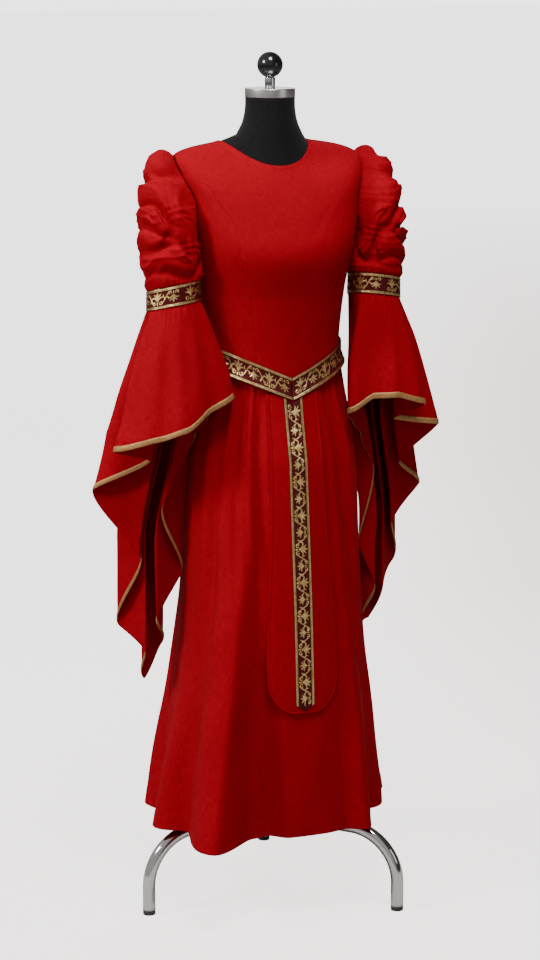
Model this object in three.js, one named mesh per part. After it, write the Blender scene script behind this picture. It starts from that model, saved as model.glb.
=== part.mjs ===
// A medieval gown of red wool-linen cloth, worn by a limbless dress form on a chrome tripod.
// Millimetres, +Z up, front of the gown towards -Y. Angles on the body turn from the front (0)
// through the wearer's left side (90, +X) and the back (180).
import * as THREE from 'three';

// Driving sizes
const CLOTH = 1.6;               // gown cloth as a wall
const RIBBON = 1.2;              // woven ribbon of belt, panel trim and arm bands
const SEAM = 0.3;                // gap where two sewn pieces meet
const REST = 0.5;                // gap where the gown rests on the form's shoulders
const RIBBON_WIDTH = 37;
const BRAID_WIDTH = 11;
const BRAID = 1.4;               // gold braid on the bell hems
const HEM_Z = 171;
const POLE_R = 12.5;
const CAP_TOP_Z = 1600;
const TUBE_R = 12.5;             // leg tube
const LEG_REACH = 282;           // from the pole to a foot
const LEG_TURN = -18.3;          // how far the tripod is turned from the gown's front
const FOOT_PLUG = 9;

// Rings of the dressed body from neckline to waist seam: half width, side, front and back points.
// dip is the power of the fall from side to front: 1 is a straight V, 2 is round.
const BODY = [
  { at: 'neckline', x: 87, y: 44, z: 1500,
    frontY: -61, frontZ: 1457, backY: 92, backZ: 1490, dip: 2.2, round: 2.0 },
  { at: 'shoulder', x: 184, y: 29, z: 1474,
    frontY: -94, frontZ: 1404, backY: 116, backZ: 1412, dip: 2.0, round: 2.3 },
  { at: 'chest', x: 173, y: 8, z: 1396,
    frontY: -120, frontZ: 1350, backY: 118, backZ: 1356, dip: 2.0, round: 2.4 },
  { at: 'bust', x: 160, y: -2, z: 1312,
    frontY: -140, frontZ: 1290, backY: 104, backZ: 1296, dip: 2.0, round: 2.3 },
  { at: 'ribs', x: 145, y: -6, z: 1226,
    frontY: -122, frontZ: 1204, backY: 86, backZ: 1216, dip: 1.6, round: 2.1 },
  { at: 'waist', x: 135, y: -10, z: 1140,
    frontY: -111, frontZ: 1100, backY: 74, backZ: 1134, dip: 1.2, round: 2.0 },
  { at: 'seam', x: 134, y: -10, z: 1099,
    frontY: -113, frontZ: 1039, backY: 76, backZ: 1096, dip: 1.0, round: 2.0 },
];
const ARMHOLE_FRONT = 19;        // degrees that the armhole cuts in on the front
const ARMHOLE_BACK = 15;
const UNDERARM_RING = 3;         // the armhole runs from ring 1 to this ring

// Rings of the skirt, from the waist seam to the hem
const SKIRT = [
  { z: 1, x: 135, frontY: -114, backY: 77, centreY: -10 },
  { z: 900, x: 170, frontY: -146, backY: 150, centreY: 0 },
  { z: 560, x: 182, frontY: -178, backY: 192, centreY: 0 },
  { z: HEM_Z, x: 222, frontY: -196, backY: 232, centreY: 0 },
];
// Skirt folds: angle at the top and at the hem, reach at the hem (out is positive), widths on the
// two sides in degrees, and the height where the fold starts
const FOLDS = [
  { top: -38, hem: -39, reach: 104, before: 30, after: 12, start: 900 },
  { top: -62, hem: -80, reach: 40, before: 20, after: 18, start: 640 },
  { top: -22, hem: -20, reach: -20, before: 8, after: 12, start: 620 },
  { top: 34, hem: 31, reach: 34, before: 9, after: 14, start: 860 },
  { top: 57, hem: 56, reach: -22, before: 9, after: 12, start: 760 },
  { top: 60, hem: 74, reach: 6, before: 10, after: 10, start: 1000 },
  { top: 96, hem: 99, reach: 42, before: 14, after: 16, start: 520 },
  { top: 122, hem: 126, reach: -30, before: 14, after: 14, start: 800 },
  { top: 146, hem: 151, reach: 34, before: 15, after: 13, start: 900 },
  { top: 166, hem: 172, reach: -28, before: 12, after: 13, start: 760 },
  { top: -168, hem: -164, reach: 30, before: 13, after: 14, start: 940 },
  { top: -146, hem: -141, reach: -34, before: 14, after: 13, start: 820 },
  { top: -122, hem: -116, reach: 32, before: 15, after: 14, start: 700 },
];

// Front panel: half width at each height; it ends in a round corner at each side
const PANEL = [
  { z: 1031, half: 52 },
  { z: 800, half: 57 },
  { z: 560, half: 71 },
  { z: 500, half: 73 },
];
const PANEL_END_Z = 417;
const PANEL_CORNER = 66;
const TRIM_TOP_Z = 1012;
const TRIM_END_Z = 431;
const PANEL_GAP = 2.2;           // room between skirt and panel

// Arms: band centre, its tilt, and the bell's axis at the tip of the sleeve
const BAND = { x: 206, y: -27, z: 1216, radius: 50, tiltIn: 9, tiltFront: 10 };
const PUFF = 34;                 // how far the sleeve head stands above the shoulder point
// Bell hems, going round the arm from its front (0) by the outside (90) and the back (180):
// the hem's distance from the arm's axis and its depth below the band
const BELL_LEFT = [
  { at: -58, reach: 122, depth: 188 },
  { at: -24, reach: 92, depth: 216 },
  { at: 4, reach: 104, depth: 246 },
  { at: 30, reach: 98, depth: 262 },
  { at: 76, reach: 122, depth: 286 },
  { at: 94, reach: 30, depth: 316 },
  { at: 116, reach: 126, depth: 376 },
  { at: 134, reach: 20, depth: 516 },
  { at: 152, reach: 92, depth: 652 },
  { at: 170, reach: 24, depth: 700 },
  { at: 188, reach: 84, depth: 770 },
  { at: 214, reach: 78, depth: 694 },
  { at: 232, reach: 18, depth: 640 },
  { at: 250, reach: 76, depth: 545 },
  { at: 268, reach: 16, depth: 412 },
  { at: 286, reach: 44, depth: 270 },
];
const BELL_RIGHT = [
  { at: -50, reach: 104, depth: 236 },
  { at: -22, reach: 84, depth: 208 },
  { at: 8, reach: 92, depth: 206 },
  { at: 38, reach: 116, depth: 222 },
  { at: 56, reach: 40, depth: 262 },
  { at: 76, reach: 124, depth: 276 },
  { at: 96, reach: 44, depth: 356 },
  { at: 114, reach: 104, depth: 412 },
  { at: 130, reach: 30, depth: 480 },
  { at: 146, reach: 98, depth: 572 },
  { at: 162, reach: 30, depth: 610 },
  { at: 178, reach: 84, depth: 690 },
  { at: 212, reach: 62, depth: 700 },
  { at: 234, reach: 18, depth: 610 },
  { at: 256, reach: 52, depth: 512 },
  { at: 274, reach: 14, depth: 360 },
  { at: 292, reach: 44, depth: 290 },
];
// A bell hangs further out than its arm where the skirt widens below it
const LEAN_FROM = 200;
const LEAN_OVER = 280;
const LEAN_RIGHT_ARM = 50;
const LEAN_LEFT_ARM = 28;
// Heights of the upper sleeves' ridges on the outer side, from the head down
const RIDGES_RIGHT_ARM = [1518, 1455, 1396, 1352, 1272, 1215, 1150];
const RIDGES_LEFT_ARM = [1510, 1448, 1388, 1336, 1276, 1222, 1160];
const RIDGE_HIGH = 5;
const RIDGE_SAG = 0.11;          // how far a ridge hangs towards the valley under it
const ARM_ROUND = 55;
// Places where one fold forks into two: round the arm, height, and the side that it opens to
const FORKS = [
  { at: 30, z: 1338, hand: 1 },
  { at: 118, z: 1296, hand: -1 },
  { at: -20, z: 1290, hand: 1 },
  { at: 160, z: 1388, hand: 1 },
  { at: 214, z: 1330, hand: -1 },
];
const CLEAR = 3.5;               // room between a hanging sleeve and the skirt
const BELT_CLEAR = 8;            // and past the belt
const BELT_LOW_Z = 1018;

const RED = new THREE.MeshStandardMaterial({ color: 0xb01218, roughness: 0.9, metalness: 0 });
const BURGUNDY = new THREE.MeshStandardMaterial({ color: 0x6d1020, roughness: 0.6, metalness: 0.2 });
const GOLD = new THREE.MeshStandardMaterial({ color: 0xc79a5a, roughness: 0.5, metalness: 0.5 });
const BLACK = new THREE.MeshStandardMaterial({ color: 0x141414, roughness: 0.85, metalness: 0 });
const GLOSS = new THREE.MeshStandardMaterial({ color: 0x0b0b0c, roughness: 0.2, metalness: 0 });
const CHROME = new THREE.MeshStandardMaterial({ color: 0xd0d0d2, roughness: 0.15, metalness: 1 });

const rad = THREE.MathUtils.degToRad;
const lerp = THREE.MathUtils.lerp;
const clamp = THREE.MathUtils.clamp;
const model = new THREE.Group();

function add(name, geometry, material) {
  const mesh = new THREE.Mesh(geometry, material);
  mesh.name = name;
  model.add(mesh);
  return mesh;
}

// Smooth value of one column of a table at a place counted in rows
function smooth(table, column, place) {
  const last = table.length - 1;
  const row = Math.min(Math.floor(clamp(place, 0, last)), last - 1);
  const t = clamp(place, 0, last) - row;
  const value = (k) => table[clamp(k, 0, last)][column];
  const [a, b, c, d] = [value(row - 1), value(row), value(row + 1), value(row + 2)];
  return b + 0.5 * t * (c - a + t * (2 * a - 5 * b + 4 * c - d + t * (3 * (b - c) + d - a)));
}

// Value of one column at a key that falls or rises down the table, eased between rows
function along(table, key, column, at) {
  const rising = table[1][key] > table[0][key];
  let row = 0;
  while (row < table.length - 2 && (rising ? table[row + 1][key] < at : table[row + 1][key] > at)) row += 1;
  const t = clamp((at - table[row][key]) / (table[row + 1][key] - table[row][key]), 0, 1);
  return smooth(table, column, row + t);
}

// A grid's points moved out by a distance, mitred where the cloth turns a fold
function moved(grid, distance, around) {
  const rows = grid.length;
  const cols = grid[0].length;
  return grid.map((line, i) => line.map((point, j) => {
    const down = grid[Math.min(i + 1, rows - 1)][j].clone().sub(grid[Math.max(i - 1, 0)][j]);
    const sides = [];
    if (around || j > 0) sides.push(point.clone().sub(line[(j + cols - 1) % cols]));
    if (around || j < cols - 1) sides.push(line[(j + 1) % cols].clone().sub(point));
    const normals = sides.map((across) => down.clone().cross(across).normalize());
    const normal = normals.reduce((sum, n) => sum.add(n), new THREE.Vector3()).normalize();
    return point.clone().addScaledVector(normal, distance / Math.max(normal.dot(normals[0]), 0.45));
  }));
}

// A closed wall of cloth from a grid of outer points. Rows run down, columns turn from front to
// the wearer's left; around closes the columns into a tube.
function wall(grid, thickness, around) {
  const rows = grid.length;
  const cols = grid[0].length;
  const inner = moved(grid, -thickness, around);
  const positions = [];
  const index = [];
  for (const layer of [grid, inner]) {
    for (const line of layer) {
      for (const point of line) positions.push(point.x, point.y, point.z);
    }
  }
  const at = (layer, i, j) => (layer * rows + i) * cols + (j % cols);
  const quad = (a, b, c, d) => index.push(a, b, c, a, c, d);
  const steps = around ? cols : cols - 1;
  for (let j = 0; j < steps; j += 1) {
    for (let i = 0; i < rows - 1; i += 1) {
      quad(at(0, i, j), at(0, i + 1, j), at(0, i + 1, j + 1), at(0, i, j + 1));
      quad(at(1, i, j), at(1, i, j + 1), at(1, i + 1, j + 1), at(1, i + 1, j));
    }
    quad(at(0, 0, j), at(0, 0, j + 1), at(1, 0, j + 1), at(1, 0, j));
    quad(at(0, rows - 1, j), at(1, rows - 1, j), at(1, rows - 1, j + 1), at(0, rows - 1, j + 1));
  }
  if (!around) {
    for (let i = 0; i < rows - 1; i += 1) {
      quad(at(0, i, 0), at(1, i, 0), at(1, i + 1, 0), at(0, i + 1, 0));
      quad(at(0, i, cols - 1), at(0, i + 1, cols - 1), at(1, i + 1, cols - 1), at(1, i, cols - 1));
    }
  }
  return solid(positions, index);
}

function solid(positions, index) {
  const geometry = new THREE.BufferGeometry();
  geometry.setAttribute('position', new THREE.Float32BufferAttribute(positions, 3));
  geometry.setIndex(index);
  geometry.computeVertexNormals();
  return geometry;
}

// A closed solid through full rings, capped flat at both ends
function loft(rings) {
  const cols = rings[0].length;
  const positions = [];
  const index = [];
  const centre = (ring) => ring.reduce((sum, p) => sum.add(p), new THREE.Vector3()).divideScalar(cols);
  for (const ring of rings) {
    for (const point of ring) positions.push(point.x, point.y, point.z);
  }
  const last = rings.length - 1;
  const top = positions.length / 3;
  positions.push(...centre(rings[0]).toArray(), ...centre(rings[last]).toArray());
  for (let j = 0; j < cols; j += 1) {
    const k = (j + 1) % cols;
    for (let i = 0; i < last; i += 1) {
      const [a, b, c, d] = [i * cols + j, (i + 1) * cols + j, (i + 1) * cols + k, i * cols + k];
      index.push(a, b, c, a, c, d);
    }
    index.push(top, j, k, top + 1, last * cols + k, last * cols + j);
  }
  return solid(positions, index);
}

// A point on the dressed body at an angle and a ring place
function bodyPoint(angle, place) {
  const read = (column) => smooth(BODY, column, place);
  const [sin, cos] = [Math.sin(rad(angle)), Math.cos(rad(angle))];
  const power = 2 / read('round');
  const out = Math.abs(cos) ** power;
  const fall = 1 - Math.abs(sin) ** read('dip');
  const front = cos >= 0;
  const sideY = read('y');
  const y = lerp(sideY, read(front ? 'frontY' : 'backY'), out);
  const z = lerp(read('z'), read(front ? 'frontZ' : 'backZ'), fall);
  return new THREE.Vector3(Math.sign(sin) * read('x') * Math.abs(sin) ** power, y, z);
}

// The body point moved out along the surface's own normal
function bodyOut(angle, place, distance) {
  const e = 0.02;
  const last = BODY.length - 1;
  const down = bodyPoint(angle, Math.min(place + e, last)).sub(bodyPoint(angle, Math.max(place - e, 0)));
  const across = bodyPoint(angle + 1, place).sub(bodyPoint(angle - 1, place));
  const normal = down.cross(across).normalize();
  return bodyPoint(angle, place).addScaledVector(normal, distance);
}

// Where the bodice front or back ends at its side: the armhole cuts in between two rings
function sideAngle(place, cut) {
  const t = clamp((place - 1) / (UNDERARM_RING - 1), 0, 1);
  return 90 - cut * Math.sin(Math.PI * t) ** 0.8;
}

function bodice(front) {
  const cols = front ? 18 : 14;
  const places = [0, 0.5, 1, 1.35, 1.7, 2, 2.35, 2.7, 3, 3.5, 4, 5, 6];
  const middle = front ? 0 : 180;
  return places.map((place) => {
    const side = sideAngle(place, front ? ARMHOLE_FRONT : ARMHOLE_BACK) - 0.2;
    return Array.from({ length: cols + 1 }, (_, j) => {
      const angle = middle + lerp(-side, side, j / cols);
      return bodyOut(angle, place, 0);
    });
  });
}
add('bodice_front', wall(bodice(true), CLOTH, false), RED);
add('bodice_back', wall(bodice(false), CLOTH, false), RED);

// The skirt
const seamZ = (angle) => bodyPoint(angle, BODY.length - 1).z - SEAM;
const turn = (angle) => THREE.MathUtils.euclideanModulo(angle + 180, 360) - 180;

function foldReach(angle, z) {
  let reach = 0;
  for (const fold of FOLDS) {
    const t = clamp((fold.start - z) / (fold.start - HEM_Z), 0, 1);
    const off = turn(angle - lerp(fold.hem, fold.top, clamp((z - HEM_Z) / (1000 - HEM_Z), 0, 1)));
    const width = off < 0 ? fold.before : fold.after;
    if (Math.abs(off) < width) {
      reach += fold.reach * t ** 1.25 * 0.5 * (1 + Math.cos((Math.PI * off) / width));
    }
  }
  return reach;
}

// t runs from 0 at the waist seam to 1 at the hem
function skirtPoint(angle, t, folded = true) {
  const z = lerp(seamZ(angle), HEM_Z, t);
  const levels = SKIRT.map((row, k) => ({ ...row, z: k === 0 ? seamZ(angle) : row.z }));
  const read = (column) => along(levels, 'z', column, z);
  const [sin, cos] = [Math.sin(rad(angle)), Math.cos(rad(angle))];
  const far = cos >= 0 ? read('frontY') : read('backY');
  const reach = folded ? foldReach(angle, z) : 0;
  const x = read('x') * sin + reach * sin;
  const y = lerp(read('centreY'), far, Math.abs(cos)) - reach * cos;
  return new THREE.Vector3(x, y, z);
}

const SKIRT_ROWS = [0, 0.04, 0.1, 0.19, 0.3, 0.42, 0.54, 0.66, 0.77, 0.88, 1];
function skirt(from, to, cols) {
  return SKIRT_ROWS.map((t) => Array.from({ length: cols + 1 }, (_, j) => {
    return skirtPoint(lerp(from, to, j / cols), t);
  }));
}
add('skirt_front', wall(skirt(-89.85, 89.85, 38), CLOTH, false), RED);
add('skirt_back', wall(skirt(90.15, 269.85, 28), CLOTH, false), RED);

// A point on the skirt's plain front at a width and height, moved out
function frontPoint(x, z, out) {
  let angle = 0;
  for (let k = 0; k < 12; k += 1) {
    const t = (seamZ(angle) - z) / (seamZ(angle) - HEM_Z);
    const here = skirtPoint(angle, Math.max(t, 0), false);
    angle += THREE.MathUtils.radToDeg((x - here.x) / Math.abs(here.y));
  }
  const t = Math.max((seamZ(angle) - z) / (seamZ(angle) - HEM_Z), 0);
  return new THREE.Vector3(x, skirtPoint(angle, t, false).y - out, z);
}

function panelHalf(z) {
  const plain = along(PANEL, 'z', 'half', z);
  const low = clamp((PANEL_END_Z + PANEL_CORNER - z) / PANEL_CORNER, 0, 1);
  return plain - PANEL_CORNER * 0.93 * (1 - Math.sqrt(1 - low * low * 0.995));
}

const PANEL_ROWS = 16;
function panelZ(i) {
  if (i === 0) return PANEL[0].z;
  return lerp(TRIM_TOP_Z, PANEL_END_Z, 1 - (1 - (i - 1) / (PANEL_ROWS - 1)) ** 1.35);
}

function panelGrid(out) {
  const cols = 8;
  return Array.from({ length: PANEL_ROWS + 1 }, (_, i) => {
    const z = panelZ(i);
    const half = panelHalf(z);
    return Array.from({ length: cols + 1 }, (_, j) => {
      const x = lerp(-half, half, j / cols);
      const lift = 3 * (Math.abs(x) / 70) ** 2;
      return frontPoint(x, z, out + lift);
    });
  });
}
const PANEL_OUT = PANEL_GAP + CLOTH;
add('front_panel', wall(panelGrid(PANEL_OUT), CLOTH, false), RED);

const BELT_SLOPE = 0.6;          // the trim's top follows the belt's mitre
function trimGrid(out) {
  const rows = PANEL_ROWS - 2;
  return Array.from({ length: rows + 1 }, (_, i) => {
    const z = i === rows ? TRIM_END_Z : panelZ(i + 1);
    return [-1, -0.5, 0, 0.5, 1].map((side) => {
      const x = (side * RIBBON_WIDTH) / 2;
      const level = i === 0 ? z + BELT_SLOPE * Math.abs(x) : z;
      const point = i === rows ? z + 10 * Math.abs(side) - 8 : level;
      const lift = 3 * (Math.abs(x) / 70) ** 2;
      return frontPoint(x, point, out + lift);
    });
  });
}
add('panel_trim', wall(trimGrid(PANEL_OUT + 2 * SEAM + RIBBON), RIBBON, false), BURGUNDY);

// The belt ribbon lies along the waist seam from the front mitre to the centre back
function belt(side) {
  const cols = 17;
  const heights = [0.5, 0, -0.5];
  const grid = heights.map((h) => Array.from({ length: cols + 1 }, (_, j) => {
    const angle = lerp(0.25, 179.8, (j / cols) ** 1.2);
    const seam = bodyPoint(angle, BODY.length - 1);
    const steep = angle < 90 ? 1.12 : 1;
    const z = seam.z + h * RIBBON_WIDTH * steep;
    const flare = 0.42 * Math.max(-h * RIBBON_WIDTH, 0);
    const front = Math.max(Math.cos(rad(angle)), 0);
    const out = 3.4 + flare + front * 1.1;
    const x = seam.x + Math.sin(rad(angle)) * out;
    return new THREE.Vector3(Math.max(x, SEAM), seam.y - Math.cos(rad(angle)) * out, z);
  }));
  if (side > 0) return grid;
  return grid.map((line) => line.map((p) => new THREE.Vector3(-p.x, p.y, p.z)).reverse());
}
add('belt_left', wall(belt(1), RIBBON, false), BURGUNDY);
add('belt_right', wall(belt(-1), RIBBON, false), BURGUNDY);

// Sleeves. Going round an arm, 0 is its front, 90 its outer side, 180 its back.
function armRing(side, angle, radius, drop, shift = 0) {
  const [sin, cos] = [Math.sin(rad(angle)), Math.cos(rad(angle))];
  const x = BAND.x + shift + radius * sin;
  const y = BAND.y - radius * cos;
  const tilt = -Math.tan(rad(BAND.tiltIn)) * radius * sin + Math.tan(rad(BAND.tiltFront)) * radius * cos;
  const level = clamp(1 - drop / 200, 0, 1);
  return new THREE.Vector3(side * x, y, BAND.z - drop + tilt * level);
}

// Point of the armhole's edge for an angle round the arm
function armholePoint(side, angle) {
  const t = THREE.MathUtils.euclideanModulo(angle - 90, 360);
  const front = t > 180;
  const way = front ? (360 - t) / 180 : t / 180;
  const place = lerp(1, UNDERARM_RING, way);
  const edge = sideAngle(place, front ? ARMHOLE_FRONT : ARMHOLE_BACK);
  const body = front ? edge : 180 - edge;
  return bodyPoint(side * body, place);
}

const SLEEVE_COLS = 20;

// Which fold of the upper sleeve a place is in: whole numbers on ridges, halves in valleys
function sleeveFold(side, angle, z) {
  const ridges = side > 0 ? RIDGES_LEFT_ARM : RIDGES_RIGHT_ARM;
  const above = clamp(ridges.findIndex((height) => height < z) - 1, 0, ridges.length - 2);
  const fold = above + (ridges[above] - z) / (ridges[above] - ridges[above + 1]);
  const sway = 0.24 * Math.sin(rad(angle * 2 + 40 * side)) + 0.12 * Math.sin(rad(angle * 3 + z * 2));
  return FORKS.reduce((sum, fork) => {
    const around = ARM_ROUND * Math.sin(rad(angle - fork.at));
    return sum + (fork.hand * Math.atan2(around, z - fork.z)) / (2 * Math.PI);
  }, fold + sway);
}

function upperSleeve(side) {
  const rows = 23;
  const columns = Array.from({ length: SLEEVE_COLS }, (_, j) => (360 * j) / SLEEVE_COLS);
  const path = columns.map((angle) => {
    const start = armholePoint(side, angle);
    const end = armRing(side, angle, BAND.radius, -RIBBON_WIDTH / 2 - SEAM - 0.35);
    const high = 0.5 * (1 + Math.sin(rad(angle)));
    const out = lerp(10, 66, high);
    const first = start.clone().add(new THREE.Vector3(side * out, 0, lerp(-10, PUFF * 1.5, high ** 2)));
    first.y += Math.cos(rad(angle)) * -26;
    const second = end.clone().add(new THREE.Vector3(side * 20 * high, 0, lerp(40, 120, high)));
    second.y += Math.cos(rad(angle)) * -10;
    start.x += side * (SEAM + 0.6);
    return new THREE.CubicBezierCurve3(start, first, second, end);
  });
  const grid = Array.from({ length: rows + 1 }, (_, i) => {
    const t = i / rows;
    return columns.map((angle, j) => {
      const point = path[j].getPoint(t);
      const fade = Math.sin(Math.PI * clamp(t, 0, 1)) ** 0.5;
      const fold = sleeveFold(side, angle, point.z);
      const ridge = Math.cos(2 * Math.PI * (fold - RIDGE_SAG * Math.sin(2 * Math.PI * fold)));
      const centre = path[(j + SLEEVE_COLS / 2) % SLEEVE_COLS].getPoint(t).add(point).multiplyScalar(0.5);
      const outward = point.clone().sub(centre).normalize();
      return point.addScaledVector(outward, fade * (3.5 + RIDGE_HIGH * ridge));
    });
  });
  return side > 0 ? grid : grid.map((line) => [...line].reverse());
}

function armBand(side) {
  const grid = [0.5, -0.5].map((h) => Array.from({ length: 20 }, (_, j) => {
    const flare = h < 0 ? 0.8 : 0;
    return armRing(side, j * 18, BAND.radius + 1.6 + flare, -h * RIBBON_WIDTH);
  }));
  return side > 0 ? grid : grid.map((line) => [...line].reverse());
}

// How far the skirt or bodice reaches from the pole in a direction, at a height
function skirtReach(angle, z) {
  const t = clamp((seamZ(angle) - z) / (seamZ(angle) - HEM_Z), 0, 1);
  const point = skirtPoint(angle, t);
  return Math.hypot(point.x, point.y);
}

function bellPoint(side, table, angle, t) {
  const lean = side > 0 ? LEAN_LEFT_ARM : LEAN_RIGHT_ARM;
  const first = table[0].at;
  const round = first + THREE.MathUtils.euclideanModulo(angle - first, 360);
  const closed = [...table, { ...table[0], at: first + 360 }];
  const before = closed.findIndex((row, k) => k > 0 && row.at >= round - 1e-9) - 1;
  const [a, b] = [closed[before], closed[before + 1]];
  const part = (round - a.at) / (b.at - a.at);
  const ease = 0.5 - 0.5 * Math.cos(Math.PI * part);
  const reach = lerp(a.reach, b.reach, ease);
  const depth = lerp(a.depth, b.depth, lerp(part, ease, 0.4));
  const start = RIBBON_WIDTH / 2 + SEAM;
  const drop = start + (depth - start) * t;
  const deep = depth * t;
  const plain = BAND.radius + 0.3 * Math.min(deep, 220);
  const open = clamp(deep / Math.min(depth, 260), 0, 1) ** 0.85;
  const radius = lerp(lerp(BAND.radius, plain, t * 0.4), reach, open);
  const out = lean * THREE.MathUtils.smoothstep(drop, LEAN_FROM, LEAN_FROM + LEAN_OVER);
  const place = (r) => armRing(side, angle, r, drop, out);
  const room = (point) => {
    const around = side * THREE.MathUtils.radToDeg(Math.atan2(side * point.x, -point.y));
    const belt = BELT_CLEAR * THREE.MathUtils.smoothstep(point.z, BELT_LOW_Z - 30, BELT_LOW_Z);
    return Math.hypot(point.x, point.y) - skirtReach(around, point.z) - CLEAR - belt;
  };
  if (room(place(radius)) >= 0) return place(radius);
  let [near, far] = [8, radius];
  for (let k = 0; k < 16; k += 1) {
    const half = (near + far) / 2;
    if (room(place(half)) >= 0) near = half;
    else far = half;
  }
  return place(near);
}

// Columns stand on each crest and valley of the hem and between them
const BELL_STEPS = 3;
const BELL_ROWS = 8;
function bell(side, table) {
  const angles = table.flatMap((row, k) => {
    const next = k + 1 < table.length ? table[k + 1].at : table[0].at + 360;
    return Array.from({ length: BELL_STEPS }, (_, j) => lerp(row.at, next, j / BELL_STEPS));
  });
  const grid = Array.from({ length: BELL_ROWS + 1 }, (_, i) => {
    return angles.map((angle) => bellPoint(side, table, angle, i / BELL_ROWS));
  });
  return side > 0 ? grid : grid.map((line) => [...line].reverse());
}

// The braid lies round the bell's hem, on the hem's own points moved out
function braid(grid) {
  const low = grid[grid.length - 1];
  const above = grid[grid.length - 2];
  const high = low.map((point, j) => point.clone().lerp(above[j], BRAID_WIDTH / point.distanceTo(above[j])));
  return moved([high, low], 5 * SEAM + BRAID, true);
}

for (const [word, side, table] of [['left', 1, BELL_RIGHT], ['right', -1, BELL_LEFT]]) {
  add(`sleeve_upper_${word}`, wall(upperSleeve(side), CLOTH, true), RED);
  add(`arm_band_${word}`, wall(armBand(side), RIBBON, true), BURGUNDY);
  const cloth = bell(side, table);
  add(`bell_sleeve_${word}`, wall(cloth, CLOTH, true), RED);
  add(`hem_braid_${word}`, wall(braid(cloth), BRAID, true), GOLD);
}

// The form: a smooth torso inside the gown, and its neck up to the cap
const FORM_COLS = 28;
const formRing = (make) => Array.from({ length: FORM_COLS }, (_, j) => make((360 * j) / FORM_COLS));
function torso() {
  const rings = [];
  const NECK = [
    { z: 1583, x: 47.5, frontY: -47.5, backY: 47.5 },
    { z: 1560, x: 48, frontY: -49, backY: 50 },
    { z: 1535, x: 53, frontY: -52, backY: 58 },
    { z: 1512, x: 64, frontY: -55, backY: 72 },
  ];
  for (const row of NECK) {
    rings.push(formRing((angle) => {
      const [sin, cos] = [Math.sin(rad(angle)), Math.cos(rad(angle))];
      const far = cos >= 0 ? row.frontY : row.backY;
      return new THREE.Vector3(row.x * sin, Math.abs(cos) * far, row.z);
    }));
  }
  for (const place of [0, 0.5, 1, 1.5, 2, 2.5, 3, 3.5, 4, 5, 6]) {
    const inset = CLOTH + REST + 1.6 * clamp(place / 0.5, 0, 1) + 5 * clamp(place - 1, 0, 1);
    rings.push(formRing((angle) => bodyOut(angle, place, -inset)));
  }
  for (const [z, inset] of [[1000, 14], [900, 26], [830, 34]]) {
    rings.push(formRing((angle) => {
      const point = skirtPoint(angle, clamp((seamZ(angle) - z) / (seamZ(angle) - HEM_Z), 0, 1), false);
      const scale = 1 - inset / Math.hypot(point.x, point.y);
      return new THREE.Vector3(point.x * scale, point.y * scale, z);
    }));
  }
  return loft(rings);
}
add('form_torso', torso(), BLACK);

// Turned parts on the pole's axis: a profile of [radius, z] pairs turned about Z
function turned(profile, segments) {
  const geometry = new THREE.LatheGeometry(profile.map(([r, z]) => new THREE.Vector2(r, z)), segments);
  geometry.rotateX(Math.PI / 2);
  return geometry;
}
add('neck_cap', turned([[0, 1583.3], [47, 1583.3], [48, 1584.3], [48, CAP_TOP_Z - 1.5], [46.5, CAP_TOP_Z],
  [0, CAP_TOP_Z]], 28), CHROME);
const POST_TOP = CAP_TOP_Z + 20;
add('cap_post', turned([[0, CAP_TOP_Z + 0.3], [10, CAP_TOP_Z + 0.3], [10, POST_TOP], [0, POST_TOP]], 12), CHROME);
const BALL_R = 24.5;
const BALL = [[0, POST_TOP + 0.3], [8, POST_TOP + 0.3]];
for (let a = -68; a <= 76; a += 16) {
  BALL.push([BALL_R * Math.cos(rad(a)), POST_TOP + 0.8 + BALL_R * (0.93 + Math.sin(rad(a)))]);
}
BALL.push([0, POST_TOP + 0.8 + BALL_R * 1.93]);
add('ball_knob', turned(BALL, 18), GLOSS);

const FORM_BASE_Z = 830;
const HUB = { top: 186, bottom: 118, r: 30 };
add('pole', turned([[0, HUB.top + 0.3], [POLE_R, HUB.top + 0.3], [POLE_R, FORM_BASE_Z - 0.3],
  [0, FORM_BASE_Z - 0.3]], 12), CHROME);
add('hub', turned([[0, HUB.bottom], [HUB.r - 3, HUB.bottom], [HUB.r, HUB.bottom + 3], [HUB.r, HUB.top - 3],
  [HUB.r - 3, HUB.top], [0, HUB.top]], 18), CHROME);

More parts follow.
